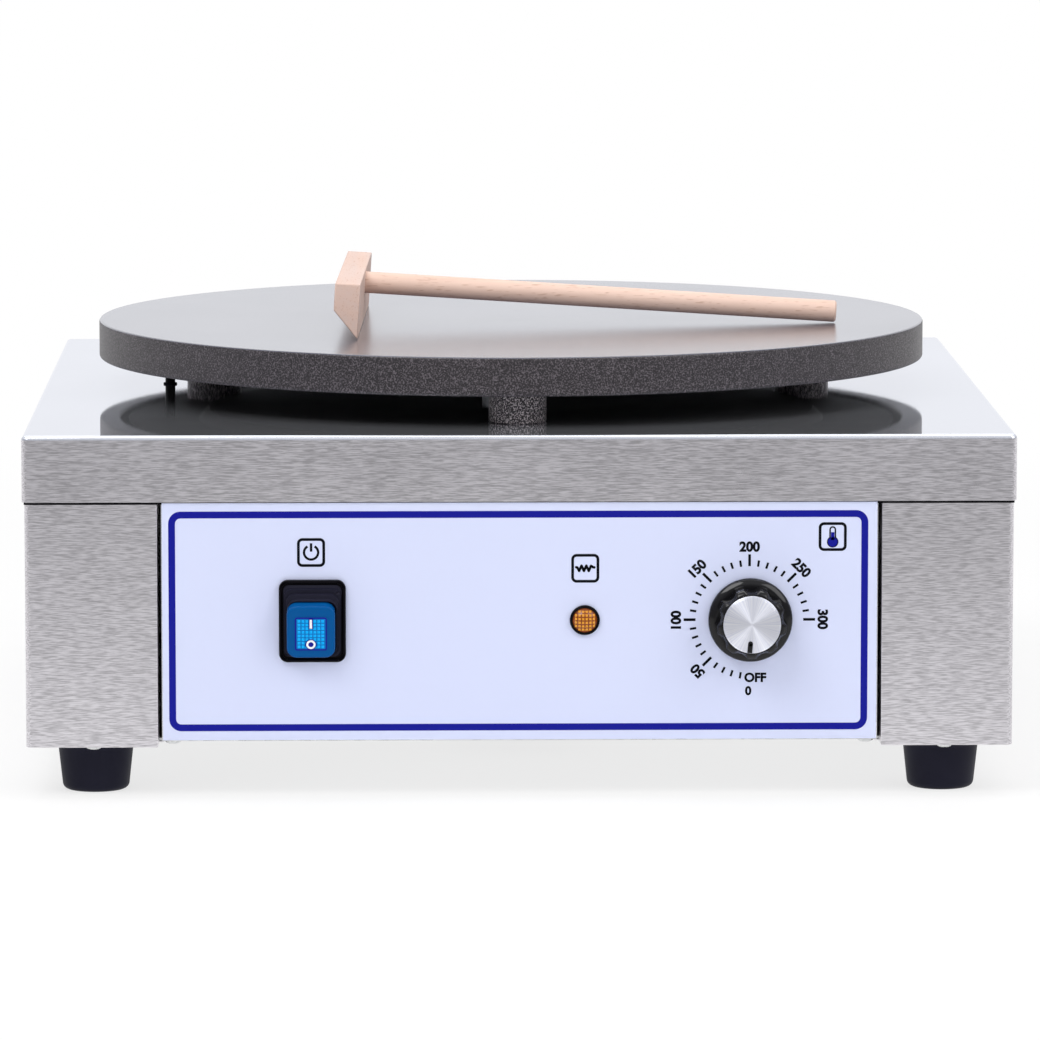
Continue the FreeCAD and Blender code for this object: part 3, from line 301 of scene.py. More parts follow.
def steel_polished():
    return steel("steel_polished", (0.75, 0.77, 0.83), 0.032, 0.05, 0.0000005, 0.94, 0.84)


def zinc_steel():
    return steel("zinc_steel", (0.80, 0.81, 0.82), 0.22, 0.32, 0.00001)


def element_sheath():
    return steel("element_sheath", (0.20, 0.18, 0.17), 0.45, 0.6, 0.00002)


def duct_aluminium():
    return steel("duct_aluminium", (0.66, 0.67, 0.68), 0.3, 0.4, 0.00002)


def sensor_copper():
    return steel("sensor_copper", (0.62, 0.33, 0.20), 0.3, 0.45, 0.00001)


def enamel(name, colour, speck, least, most, coat):
    """Dark speckled coat on cast iron."""
    finish = Finish(name, colour, least, Coat_Weight=coat, Coat_Roughness=0.22, Specular_IOR_Level=0.35)
    grains = finish.effect("speckle_group")
    finish.tint(grains["Speck"], speck)
    finish.rough(finish.effect("handling_group", Patch=9.0)["Patches"], least, most)
    finish.bump(grains["Height"], 0.00003)
    return finish.material


def cast_plate():
    return enamel("cast_plate", (0.018, 0.015, 0.018), (0.125, 0.108, 0.122), 0.5, 0.6, 0.22)


def leg_steel():
    return enamel("leg_steel", (0.02, 0.016, 0.018), (0.64, 0.57, 0.59), 0.4, 0.5, 0.2)


def panel_print():
    """Satin printed sheet."""
    finish = Finish("panel_print", (0.655, 0.70, 0.915), 0.42)
    finish.rough(finish.effect("handling_group", Patch=12.0)["Patches"], 0.38, 0.46)
    finish.bump(finish.effect("moulded_group", Grain=2400.0)["Height"], 0.00001)
    return finish.material


def moulding(name, colour, least, most, depth, grain=1800.0, **sockets):
    """Moulded plastic or rubber."""
    finish = Finish(name, colour, least, **sockets)
    finish.rough(finish.effect("handling_group", Patch=40.0)["Patches"], least, most)
    finish.bump(finish.effect("moulded_group", Grain=grain)["Height"], depth)
    return finish.material


def foot_rubber():
    return moulding("foot_rubber", (0.010, 0.010, 0.022), 0.5, 0.62, 0.00003, Specular_IOR_Level=0.14)


def black_plastic():
    return moulding("black_plastic", (0.0025, 0.002, 0.004), 0.26, 0.34, 0.00001, Specular_IOR_Level=0.08)


def knob_black():
    return moulding("knob_black", (0.002, 0.0018, 0.003), 0.06, 0.09, 0.000002, Specular_IOR_Level=0.35)


def rocker_blue():
    return moulding("rocker_blue", (0.001, 0.082, 0.28), 0.18, 0.26, 0.000005, Specular_IOR_Level=0.06)


def window_cyan():
    return moulding("window_cyan", (0.004, 0.36, 0.78), 0.18, 0.26, 0.00001, Specular_IOR_Level=0.12,
                    Emission_Color=(0.0, 0.40, 0.85, 1.0), Emission_Strength=0.14)


def lens_amber():
    return moulding("lens_amber", (0.20, 0.036, 0.002), 0.10, 0.16, 0.000005,
                    Emission_Color=(0.85, 0.30, 0.02, 1.0), Emission_Strength=0.03)


def white_ceramic():
    return moulding("white_ceramic", (0.83, 0.81, 0.76), 0.22, 0.3, 0.00001)


def lead_sleeving():
    return moulding("lead_sleeving", (0.72, 0.70, 0.64), 0.7, 0.85, 0.0001, 900.0)


def ceramic_fibre():
    return moulding("ceramic_fibre", (0.80, 0.79, 0.74), 0.9, 1.0, 0.0006, 400.0)


def knob_aluminium():
    """Turned face: fine rings that spread the light sideways, and darker streaks out from the middle as a
    painted sheen of the turned rings.
    """
    finish = Finish("knob_aluminium", (0.90, 0.91, 0.97), 0.45, 1.0, Anisotropic=0.9,
                    Anisotropic_Rotation=0.25)
    tree = finish.tree
    coords = tree.nodes.new("ShaderNodeTexCoord").outputs["Object"]
    centred = node(tree, "ShaderNodeMapping", Vector=coords,
                   Location=(-KNOB_X, 0.0, -CONTROL_HEIGHT)).outputs["Vector"]
    flat = node(tree, "ShaderNodeVectorMath", {"operation": "MULTIPLY"}, i0=centred, i1=(1, 0, 1))
    away = node(tree, "ShaderNodeVectorMath", {"operation": "LENGTH"}, i0=flat.outputs[0])
    turns = math_node(tree, "MULTIPLY", away.outputs["Value"], 2 * pi / RING_SPACING)
    rings = math_node(tree, "SINE", turns)
    tangent = node(tree, "ShaderNodeTangent", {"direction_type": "RADIAL", "axis": "Y"})
    tree.links.new(tangent.outputs[0], finish.shader.inputs["Tangent"])
    across = node(tree, "ShaderNodeSeparateXYZ", Vector=centred)
    # Darker streaks by angle round the middle: painted sheen standing in for the rings' radial highlights.
    angle = math_node(tree, "ARCTAN2", across.outputs["Z"], across.outputs["X"])
    sheen_noise = node(tree, "ShaderNodeTexNoise", {"noise_dimensions": "1D"}, W=angle, Scale=14.0, Detail=3.0)
    painted_sheen_streaks = node(tree, "ShaderNodeMapRange", Value=sheen_noise.outputs["Fac"], i1=0.4, i2=0.62)
    finish.tint(painted_sheen_streaks.outputs["Result"], (0.78, 0.80, 0.90))
    finish.rough(finish.effect("handling_group", Patch=60.0)["Patches"], 0.42, 0.48)
    finish.bump(rings, 0.000003)
    return finish.material


def wood(name, along_x, colour):
    """Sanded beech, its grain along X where along_x is 1 and along Y where it is 0."""
    finish = Finish(name, colour, 0.55)
    grain = finish.effect("wood_group", Along_X=along_x)
    finish.tint(grain["Figure"], (0.80, 0.55, 0.44))
    finish.tint(grain["Flecks"], (0.66, 0.42, 0.32))
    finish.rough(finish.effect("handling_group", Patch=30.0)["Patches"], 0.5, 0.66)
    finish.bump(grain["Figure"], 0.0001)
    return finish.material


def beech():
    return wood("beech", 0.0, (0.73, 0.57, 0.52))


def ink(name, colour):
    """Flat printed colour."""
    return moulding(name, colour, 0.4, 0.48, 0.000002, Specular_IOR_Level=0.08)


FINISHES = {make.__name__: make() for make in (
    steel_brushed, steel_polished, zinc_steel, element_sheath, duct_aluminium, sensor_copper, cast_plate,
    leg_steel, panel_print, foot_rubber, black_plastic, knob_black, rocker_blue, window_cyan, lens_amber,
    white_ceramic, lead_sleeving, ceramic_fibre, knob_aluminium, beech)}
# Cooking face: smoother, fully coated enamel (real), and a lighter, bluer colour that paints the bluish
# sheen it mirrors.
PLATE_FACE_PAINTED_SHEEN = enamel("cast_plate_face_painted_sheen", (0.040, 0.040, 0.066), (0.060, 0.058, 0.086), 0.22, 0.27, 1.0)
# Heat shield drawn near black: painted shade that darkens the gap under the plate.
SHIELD_PAINTED_SHADE = moulding("shield_steel_painted_shade", (0.016, 0.012, 0.011), 0.7, 0.8, 0.00001,
                        Specular_IOR_Level=0.15)
# The window's flat ground is drawn a darker blue than its prisms: painted shade between them.
WINDOW_GROUND_PAINTED_SHADE = moulding("window_ground_painted_shade", (0.002, 0.15, 0.48), 0.2, 0.3, 0.00001, Specular_IOR_Level=0.12)
# The prisms are the lens's own amber, drawn lighter and glowing: painted highlight where they catch the
# light.
LENS_PRISM_HIGHLIGHT = moulding("lens_prisms", (0.66, 0.27, 0.02), 0.08, 0.14, 0.000005,
                       Emission_Color=(0.95, 0.42, 0.02, 1.0), Emission_Strength=0.10)
INK_BLACK = ink("ink_black", (0.003, 0.003, 0.006))
INK_BLUE = ink("ink_blue", (0.008, 0.010, 0.27))
MARK_WHITE = ink("mark_white", (0.88, 0.90, 0.94))
BEECH_DOWEL = wood("beech_dowel", 1.0, (0.92, 0.69, 0.59))


# Making pieces

def piece(name, bm, slot, body, stands_for=(), material=None, sharp=30):
    """Show a mesh that is in its final place as one piece of the object.

    An edge stays crisp where it turns by more than the sharp angle, or parts two very unequal faces.
    A piece that bends between two bodies is given none here."""
    for face in bm.faces:
        face.smooth = True
    for edge in bm.edges:
        areas = [face.calc_area() for face in edge.link_faces]
        edge.smooth = (len(areas) == 2 and max(areas) < CRISP_AREA_RATIO * min(areas)
                       and edge.calc_face_angle() < radians(sharp))
    mesh = bpy.data.meshes.new(name)
    bm.to_mesh(mesh)
    bm.free()
    mesh.materials.append(material or FINISHES[slot])
    obj = bpy.data.objects.new(name, mesh)
    scene.collection.objects.link(obj)
    if body:
        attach(obj, body)
    if stands_for:
        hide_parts(*stands_for)
    return obj


def edge_round(obj, width):
    """Soften a piece's sharp edges."""
    bevel = obj.modifiers.new("edge_round", "BEVEL")
    bevel.width = width
    bevel.segments = 2
    bevel.limit_method = "ANGLE"
    bevel.angle_limit = radians(40)


def refined(name, rounding=0.0, material=None):
    """Show a solid's own mesh with shared corners, smooth curved faces and softened edges."""
    bm = bmesh.new()
    bm.from_mesh(nodes[name].data)
    bmesh.ops.remove_doubles(bm, verts=bm.verts, dist=WELD)
    bmesh.ops.dissolve_limit(bm, angle_limit=radians(0.5), verts=bm.verts, edges=bm.edges)
    obj = piece(name + "_shown", bm, SLOT_OF[name], BODY_OF[name], [name], material)
    if rounding:
        edge_round(obj, rounding)


def merge_in(bm, other):
    """Add another mesh to this one."""
    mesh = bpy.data.meshes.new("joined")
    other.to_mesh(mesh)
    other.free()
    bm.from_mesh(mesh)
    bpy.data.meshes.remove(mesh)


def placed(bm, matrix):
    bmesh.ops.transform(bm, matrix=matrix, verts=bm.verts)
    return bm


def shifted(bm, x, y, z):
    return placed(bm, Matrix.Translation((x, y, z)))


def on_panel(x, z):
    """Places local X and Y along the panel's face and local Z out of it."""
    return Matrix.Translation((x, PANEL_FACE, z)) @ Matrix.Rotation(radians(90), 4, "X")


def lathe(corners, steps):
    """Mesh turned about Z from corners of radius, height and rounding, listed round the section."""
    bm = bmesh.new()
    verts = [bm.verts.new((radius, 0, height)) for radius, height, _ in corners]
    bm.faces.new(verts)
    for vert, (_, _, rounding) in zip(verts, corners):
        if rounding:
            bmesh.ops.bevel(bm, geom=[vert], offset=rounding, affect="VERTICES", segments=5, profile=0.5,
                            material=-1)
    bmesh.ops.delete(bm, geom=bm.faces[:], context="FACES_ONLY")
    on_axis = [edge for edge in bm.edges if max(vert.co.x for vert in edge.verts) < SAME_PLACE]
    bmesh.ops.delete(bm, geom=on_axis, context="EDGES")
    bmesh.ops.spin(bm, geom=bm.verts[:] + bm.edges[:], cent=(0, 0, 0), axis=(0, 0, 1), angle=2 * pi,
                   steps=steps, use_merge=True, use_duplicate=False)
    bmesh.ops.remove_doubles(bm, verts=bm.verts, dist=SAME_PLACE)
    bmesh.ops.recalc_face_normals(bm, faces=bm.faces)
    return bm


def rounded_sheet(width, height, corner):
    """Flat face in the XY plane with round corners."""
    bm = bmesh.new()
    bmesh.ops.create_grid(bm, x_segments=1, y_segments=1, size=0.5)
    bmesh.ops.scale(bm, vec=(width, height, 1), verts=bm.verts)
    bmesh.ops.bevel(bm, geom=bm.verts[:], offset=corner, affect="VERTICES", segments=8, profile=0.5,
                    material=-1)
    return bm


def circle_face(radius, steps=32):
    """Round flat face in the XY plane."""
    bm = bmesh.new()
    bmesh.ops.create_circle(bm, cap_ends=True, segments=steps, radius=radius)
    return bm


def raise_faces(bm, height):
    """Pull every face of a flat mesh up into a closed body."""
    raised = bmesh.ops.extrude_face_region(bm, geom=bm.faces[:])["geom"]
    verts = [part for part in raised if isinstance(part, bmesh.types.BMVert)]
    bmesh.ops.translate(bm, vec=(0, 0, height), verts=verts)
    bmesh.ops.recalc_face_normals(bm, faces=bm.faces)
    return bm


def round_top(bm, height, rounding, steps):
    """Round the edges that lie at a height."""
    rim = [edge for edge in bm.edges if all(abs(vert.co.z - height) < SAME_PLACE for vert in edge.verts)]
    bmesh.ops.bevel(bm, geom=rim, offset=rounding, affect="EDGES", segments=steps, profile=0.5, material=-1)
    return bm


def slab(width, depth, corner, height, rounding, steps=4):
    """Block with round corners and rounded upper edges, standing on the XY plane."""
    return round_top(raise_faces(rounded_sheet(width, depth, corner), height), height, rounding, steps)


def band(width, height, corner, stroke, thickness):
    """Flat frame of one stroke's width."""
    bm = rounded_sheet(width, height, corner)
    bmesh.ops.inset_region(bm, faces=bm.faces[:], thickness=stroke, use_boundary=True, use_even_offset=True)
    inner = max(bm.faces, key=lambda face: len(face.verts))
    bmesh.ops.delete(bm, geom=[inner], context="FACES_ONLY")
    return raise_faces(bm, thickness)


def bar(width, height, thickness):
    """Straight block with its middle over the origin, standing on the XY plane."""
    bm = bmesh.new()
    bmesh.ops.create_cube(bm, size=1)
    bmesh.ops.scale(bm, vec=(width, height, thickness), verts=bm.verts)
    return shifted(bm, 0, 0, thickness / 2)


def from_curve(curve, thickness):
    """Flat mesh of a curve's shape, from the XY plane up to a thickness."""
    holder = bpy.data.objects.new(curve.name, curve)
    mesh = bpy.data.meshes.new_from_object(holder)
    bm = bmesh.new()
    bm.from_mesh(mesh)
    bpy.data.objects.remove(holder)
    bpy.data.curves.remove(curve)
    bpy.data.meshes.remove(mesh)
    heights = [vert.co.z for vert in bm.verts]
    depth = max(heights) - min(heights)
    shifted(bm, 0, 0, -min(heights))
    bmesh.ops.scale(bm, vec=(1, 1, thickness / depth), verts=bm.verts)
    return bm


def letters(text, size):
    """Upright letters centred on the origin."""
    curve = bpy.data.curves.new("letters", "FONT")
    curve.body = text
    curve.size = size
    curve.offset = LETTER_WEIGHT * size
    curve.extrude = PRINT_THICKNESS
    curve.align_x = "CENTER"
    bm = from_curve(curve, PRINT_THICKNESS)
    ys = [vert.co.y for vert in bm.verts]
    xs = [vert.co.x for vert in bm.verts]
    return shifted(bm, -(min(xs) + max(xs)) / 2, -(min(ys) + max(ys)) / 2, 0)


def stroke(points, width):
    """Line of one width through points, cut square at its ends."""
    curve = bpy.data.curves.new("stroke", "CURVE")
    curve.dimensions = "3D"
    curve.bevel_depth = width / 2
    curve.bevel_resolution = 3
    curve.use_fill_caps = True
    spline = curve.splines.new("POLY")
    spline.points.add(len(points) - 1)
    for point, (x, y) in zip(spline.points, points):
        point.co = (x, y, 0, 1)
    return from_curve(curve, PRINT_THICKNESS)


def zigzag(points, width):
    """Line of straight runs with round joints."""
    bm = bmesh.new()
    for (x0, y0), (x1, y1) in zip(points, points[1:]):
        run = bar(hypot(x1 - x0, y1 - y0), width, PRINT_THICKNESS)
        place = Matrix.Translation(((x0 + x1) / 2, (y0 + y1) / 2, 0))
        merge_in(bm, placed(run, place @ Matrix.Rotation(atan2(y1 - y0, x1 - x0), 4, "Z")))
    for x, y in points:
        merge_in(bm, shifted(raise_faces(circle_face(width / 2, 16), PRINT_THICKNESS), x, y, 0))
    return bm


def arc(radius, start, end, steps=32, y=0.0):
    """Points along an arc, between two angles in degrees, round a centre at a height y."""
    turns = [radians(start + (end - start) * step / steps) for step in range(steps + 1)]
    return [(radius * cos(turn), y + radius * sin(turn)) for turn in turns]


def polar(radius, angle):
    """Place on a circle in the XY plane, at an angle in degrees."""
    return Vector((radius * cos(radians(angle)), radius * sin(radians(angle)), 0))


def square_cone(foot, top, height):
    """Four-sided cone with a flat top, its sides along X and Y."""
    bm = bmesh.new()
    bmesh.ops.create_cone(bm, segments=4, radius1=foot, radius2=top, depth=height, cap_ends=True)
    return placed(bm, Matrix.Rotation(radians(45), 4, "Z"))


def grid_of(shape, columns, rows, spacing_x, spacing_y, height_at, reach=inf):
    """Copies of a small shape in rows and columns, up to a distance from the middle."""
    bm = bmesh.new()
    for column in range(columns):
        for row in range(rows):
            x = (column - (columns - 1) / 2) * spacing_x
            y = (row - (rows - 1) / 2) * spacing_y
            if hypot(x, y) <= reach:
                merge_in(bm, shifted(shape.copy(), x, y, height_at(x, y)))
    shape.free()
    return bm


# Griddle plate and what carries it

def griddle():
    """Cast plate with a softly rounded rim, hollow below, with three leg bosses and a smoother face, whose
    lighter, bluer colour is a painted sheen.
    """
    inner = PLATE_RADIUS - RIM_THICKNESS
    section = [(0, PLATE_TOP, 0), (PLATE_RADIUS, PLATE_TOP, RIM_ROUNDING),
               (PLATE_RADIUS, PLATE_BOTTOM, RIM_ROUNDING), (inner, PLATE_BOTTOM, 1.5 * MM),
               (inner, PLATE_CEILING, 0), (0, PLATE_CEILING, 0)]
    bm = lathe(section, 240)
    top = PLATE_CEILING + MM
    bottom = high("support_legs").z + 0.8 * MM
    for angle in LEG_ANGLES:
        boss = [(0, top, 0), (BOSS_RADIUS, top, 0), (BOSS_RADIUS, bottom, 1 * MM), (0, bottom, 0)]
        merge_in(bm, placed(lathe(boss, 48), Matrix.Translation(polar(LEG_CIRCLE_RADIUS, angle))))
    obj = piece("griddle", bm, "cast_plate", "housing", ["griddle_plate"])
    obj.data.materials.append(PLATE_FACE_PAINTED_SHEEN)
    for face in obj.data.polygons:
        face.material_index = 1 if face.normal.z > 0.5 else 0


def legs():
    """Three turned spacers between the deck and the plate."""
    bm = bmesh.new()
    bottom = low("support_legs").z
    top = high("support_legs").z
    rounding = 0.8 * MM
    for angle in LEG_ANGLES:
        leg = [(0, top, 0), (LEG_RADIUS, top, rounding), (LEG_RADIUS, bottom, rounding), (0, bottom, 0)]
        merge_in(bm, placed(lathe(leg, 72), Matrix.Translation(polar(LEG_CIRCLE_RADIUS, angle))))
    piece("legs", bm, "leg_steel", "housing", ["support_legs"])


def sleeve_collar():
    """Slim rubber collar where the sensor's sleeve passes through the deck."""
    bore = (high("capillary_sleeve").x - low("capillary_sleeve").x) / 2
    outer = bore + 0.9 * MM
    top = DECK_TOP + 0.8 * MM
    bottom = low("sleeve_grommet").z
    place = middle("sleeve_grommet")
    bm = lathe([(bore, top, 0), (outer, top, 0.3 * MM), (outer, bottom, 0.3 * MM), (bore, bottom, 0)], 32)
    piece("sleeve_collar", shifted(bm, place.x, place.y, 0), "foot_rubber", "housing", ["sleeve_grommet"])


# Body

def deck():
    """Folded deck with a skirt, open below: bright on top, brushed on the skirt."""
    size = high("deck_cover") - low("deck_cover")
    corner = 3 * MM
    fold = 2 * MM
    bm = slab(size.x, size.y, corner, DECK_TOP - SKIRT_BOTTOM, fold, 5)
    underside = [face for face in bm.faces if face.calc_center_median().z < WELD]
    bmesh.ops.delete(bm, geom=underside, context="FACES_ONLY")
    shifted(bm, 0, 0, SKIRT_BOTTOM)
    obj = piece("deck", bm, "steel_polished", "housing", ["deck_cover"], sharp=50)
    wall = obj.modifiers.new("sheet", "SOLIDIFY")
    wall.thickness = SHEET
    wall.offset = -1
    obj.data.materials.append(FINISHES["steel_brushed"])
    for face in obj.data.polygons:
        face.material_index = 0 if face.normal.z > 0.1 else 1


def skirt_shadow_strip():
    """Thin black strip under the skirt's lower edge, all round the wrap: painted shade for the shadow gap
    under the skirt.
    """
    size = high("housing_wrap") - low("housing_wrap") + Vector((0.4, 0.4, 0)) * MM
    height = 1.3 * MM
    below_skirt = 1.1 * MM
    bm = band(size.x, size.y, 1.5 * MM, 1.0 * MM, height)
    place = middle("housing_wrap")
    # The black strip is painted shade, not a real seal.
    piece("skirt_shadow_strip", shifted(bm, place.x, place.y, SKIRT_BOTTOM - below_skirt), "foot_rubber", "housing",
          material=FINISHES["black_plastic"])


def foot_places():
    """X and Y of the four feet."""
    centre = middle("foot_nuts")
    reach = (high("feet") - low("feet")) / 2 - Vector((FOOT_RADIUS, FOOT_RADIUS, 0))
    return [(centre.x + sx * reach.x, centre.y + sy * reach.y) for sx in (-1, 1) for sy in (-1, 1)]


def feet():
    """Four rubber feet, each with a lip, a well-rounded sole and a bore for its screw."""
    bore = 6 * MM
    shank_bore = 2.9 * MM
    section = [(bore, 0, 0.6 * MM), (15 * MM, 0, 2.6 * MM), (17.2 * MM, FOOT_TOP - 3 * MM, 0.8 * MM),
               (FOOT_RADIUS, FOOT_TOP - 2.4 * MM, 0.4 * MM), (FOOT_RADIUS, FOOT_TOP, 0.4 * MM),
               (shank_bore, FOOT_TOP, 0), (shank_bore, FOOT_BORE_DEPTH, 0), (bore, FOOT_BORE_DEPTH, 0)]
    bm = bmesh.new()
    for x, y in foot_places():
        merge_in(bm, shifted(lathe(section, 72), x, y, 0))
    piece("rubber_feet", bm, "foot_rubber", "housing", ["feet"])


def cross_outline(length, width):
    """Corners of a plus sign, counter-clockwise."""
    arm = [(length / 2, -width / 2), (length / 2, width / 2), (width / 2, width / 2)]
    corners = []
    for _ in range(4):
        corners += arm
        arm = [(-y, x) for x, y in arm]
    return corners


def screw_head(radius, height):
    """Domed head with a cross recess, standing on the XY plane."""
    bm = bmesh.new()
    bmesh.ops.create_circle(bm, cap_ends=False, segments=32, radius=radius)
    edges = bm.edges[:]
    for scale, rise in ((1.0, 0.45), (0.93, 0.25), (0.80, 0.20), (0.70, 0.10)):
        grown = bmesh.ops.extrude_edge_only(bm, edges=edges)["geom"]
        verts = [part for part in grown if isinstance(part, bmesh.types.BMVert)]
        edges = [part for part in grown if isinstance(part, bmesh.types.BMEdge)]
        bmesh.ops.translate(bm, vec=(0, 0, rise * height), verts=verts)
        factor = scale * radius / max(vert.co.xy.length for vert in verts)
        bmesh.ops.scale(bm, vec=(factor, factor, 1), verts=verts)
    corners = [bm.verts.new((x, y, height)) for x, y in cross_outline(1.1 * radius, 0.28 * radius)]
    outline = [bm.edges.new((corners[index - 1], corners[index])) for index in range(len(corners))]
    bmesh.ops.triangle_fill(bm, edges=edges + outline, use_beauty=True)
    lid = bm.faces.new(corners)
    sunk = bmesh.ops.extrude_face_region(bm, geom=[lid])["geom"]
    verts = [part for part in sunk if isinstance(part, bmesh.types.BMVert)]
    bmesh.ops.translate(bm, vec=(0, 0, -0.6 * height), verts=verts)
    bmesh.ops.delete(bm, geom=[lid], context="FACES_ONLY")
    bmesh.ops.recalc_face_normals(bm, faces=bm.faces)
    return bm


def screws(name, solids, places, radius=SCREW_HEAD_RADIUS, height=SCREW_HEAD_HEIGHT):
    """Screw heads at places given as matrices. They stand for whole screws: nothing shows the shanks."""
    bm = bmesh.new()
    for place in places:
        merge_in(bm, placed(screw_head(radius, height), place))
    piece(name, bm, "zinc_steel", "housing", [solids], sharp=40)


def downwards(spots, z):
    """Places at a height for heads that face down."""
    return [Matrix.Translation((x, y, z)) @ Matrix.Rotation(pi, 4, "X") for x, y in spots]


def outer_screws(solids):
    """X of the first and the last screw of a row."""
    return low(solids).x + SCREW_HEAD_RADIUS, high(solids).x - SCREW_HEAD_RADIUS


def fasteners():
    """Heads under the body, in the feet and on the back of the skirt."""
    left, right = outer_screws("base_screws")
    foot_x = max(x for x, _ in foot_places())
    row = high("base_screws").y - SCREW_HEAD_RADIUS
    spots = [(sx * foot_x, sy * row) for sx in (-1, 1) for sy in (-1, 1)] + [(left, 0), (right, 0)]
    screws("base_screw_heads", "base_screws", downwards(spots, low("housing_wrap").z))
    row = middle("panel_screws").y
    spots = [(x, row) for x in outer_screws("panel_screws")]
    screws("panel_screw_heads", "panel_screws", downwards(spots, low("control_panel").z))
    screws("foot_screw_heads", "foot_screws", downwards(foot_places(), FOOT_BORE_DEPTH), 4.7 * MM, 3 * MM)
    left, right = outer_screws("deck_screws")
    back = high("deck_cover").y
    row = middle("deck_screws").z
    turn = Matrix.Rotation(radians(-90), 4, "X")
    places = [Matrix.Translation((x, back, row)) @ turn for x in (left, 0, right)]
    screws("deck_screw_heads", "deck_screws", places)


# Print on the control panel

def printed(name, parts, material):
    """One printed piece from meshes that are placed on the panel."""
    bm = bmesh.new()
    for part in parts:
        merge_in(bm, part)
    piece(name, bm, "panel_print", "housing", material=material)


def blue_frame():
    outline = band(316.6 * MM, 100.3 * MM, 5.5 * MM, 3.1 * MM, PRINT_THICKNESS)
    printed("panel_frame_line", [placed(outline, on_panel(-0.6 * MM, 80.9 * MM))], INK_BLUE)


def dial_marks():
    """Ticks every nine degrees, longer at the numbers, and the numbers with their tops outwards."""
    parts = []
    centre = on_panel(KNOB_X - 0.4 * MM, CONTROL_HEIGHT)
    inner = 24.4 * MM
    ticks_per_number = 5
    for step in range(1, 6 * ticks_per_number + 1):
        turn = Matrix.Rotation(radians(DIAL_OFF - TICK_TURN * step), 4, "Z")
        outer, width = (27.3 * MM, 1.0 * MM) if step % ticks_per_number else (29.8 * MM, 1.2 * MM)
        tick = shifted(bar(outer - inner, width, PRINT_THICKNESS), (inner + outer) / 2, 0, 0)
        parts.append(placed(tick, centre @ turn))
    for number in range(1, 7):
        turn = Matrix.Rotation(radians(DIAL_OFF - TICK_TURN * ticks_per_number * number - 90), 4, "Z")
        numeral = letters(str(50 * number), 6.1 * MM)
        parts.append(placed(numeral, centre @ turn @ Matrix.Translation((0, 33.3 * MM, 0))))
    parts.append(placed(letters("OFF", 5.6 * MM), centre @ Matrix.Translation((2.8 * MM, -26.5 * MM, 0))))
    parts.append(placed(letters("0", 5.4 * MM), centre @ Matrix.Translation((-0.4 * MM, -32.6 * MM, 0))))
    printed("dial_marks", parts, INK_BLACK)


def icons():
    """Signs for power, heating and temperature, each in a box with round corners."""
    power = on_panel(-94.4 * MM, 112.3 * MM)
    heat = on_panel(29.6 * MM, 104.8 * MM)
    degree = on_panel(141.6 * MM, 119.0 * MM)
    parts = [placed(band(12.7 * MM, 13.1 * MM, 2.4 * MM, 1.25 * MM, PRINT_THICKNESS), place)
             for place in (power, heat, degree)]
    parts.append(placed(stroke(arc(3.2 * MM, 120, 420), 1.1 * MM), power))
    parts.append(placed(stroke([(0, 0.4 * MM), (0, 4.2 * MM)], 1.1 * MM), power))
    wave = [(-4.1, 0.5), (-3.5, 0.3), (-2.8, -1.2), (-1.7, 1.2), (-0.6, -1.2), (0.5, 1.2), (1.6, -1.2),
            (2.6, 1.1), (3.5, 0.5), (4.1, 0.4)]
    parts.append(placed(zigzag([(x * MM, y * MM) for x, y in wave], 1.15 * MM), heat))
    bulb_y = -2.4 * MM
    side = 1.2 * MM
    neck = -1.0 * MM
    stem = [(-side, neck)] + arc(side, 180, 0, 12, y=3.2 * MM) + [(side, neck)]
    parts.append(placed(stroke(stem, 0.7 * MM), degree))
    parts.append(placed(stroke(arc(2.3 * MM, 120, 420, y=bulb_y), 0.6 * MM), degree))
    printed("panel_signs", parts, INK_BLACK)
    bulb = raise_faces(shifted(circle_face(2.2 * MM), 0, bulb_y, 0), PRINT_THICKNESS)
    thread = shifted(bar(1.5 * MM, 3.6 * MM, PRINT_THICKNESS), 0, 0.2 * MM, 0)
    printed("panel_sign_bulb", [placed(bulb, degree), placed(thread, degree)], INK_BLUE)


# Switch

def rocked(share=1.0):
    """Turn about the rocker's pivot by a share of its tilt at rest, with its lower end pressed in."""
    pivot = Matrix.Translation((0, 0, -ROCKER_PIVOT))
    return pivot @ Matrix.Rotation(radians(ROCKER_TILT * share), 4, "X") @ pivot.inverted()


def bezel():
    """Raised frame with a rounded lip round the switch."""
    size = high("switch_bezel") - low("switch_bezel") + Vector((0.5, 0, 1.2)) * MM
    height = 2.4 * MM
    bm = round_top(band(size.x, size.z, 4 * MM, 1.6 * MM, height), height, 0.6 * MM, 3)
    merge_in(bm, raise_faces(rounded_sheet(size.x - 2 * MM, size.z - 2 * MM, 3 * MM), 0.8 * MM))
    piece("switch_frame", placed(bm, on_panel(SWITCH_X, CONTROL_HEIGHT)), "black_plastic", "housing",
          ["switch_bezel"])


def loop_at(bm, width, height, corner, matrix):
    """Edge loop of a rounded rectangle, added to a mesh."""
    sheet = placed(rounded_sheet(width, height, corner), matrix)
    bmesh.ops.delete(sheet, geom=sheet.faces[:], context="FACES_ONLY")
    before = len(bm.edges)
    merge_in(bm, sheet)
    bm.edges.ensure_lookup_table()
    return bm.edges[before:]


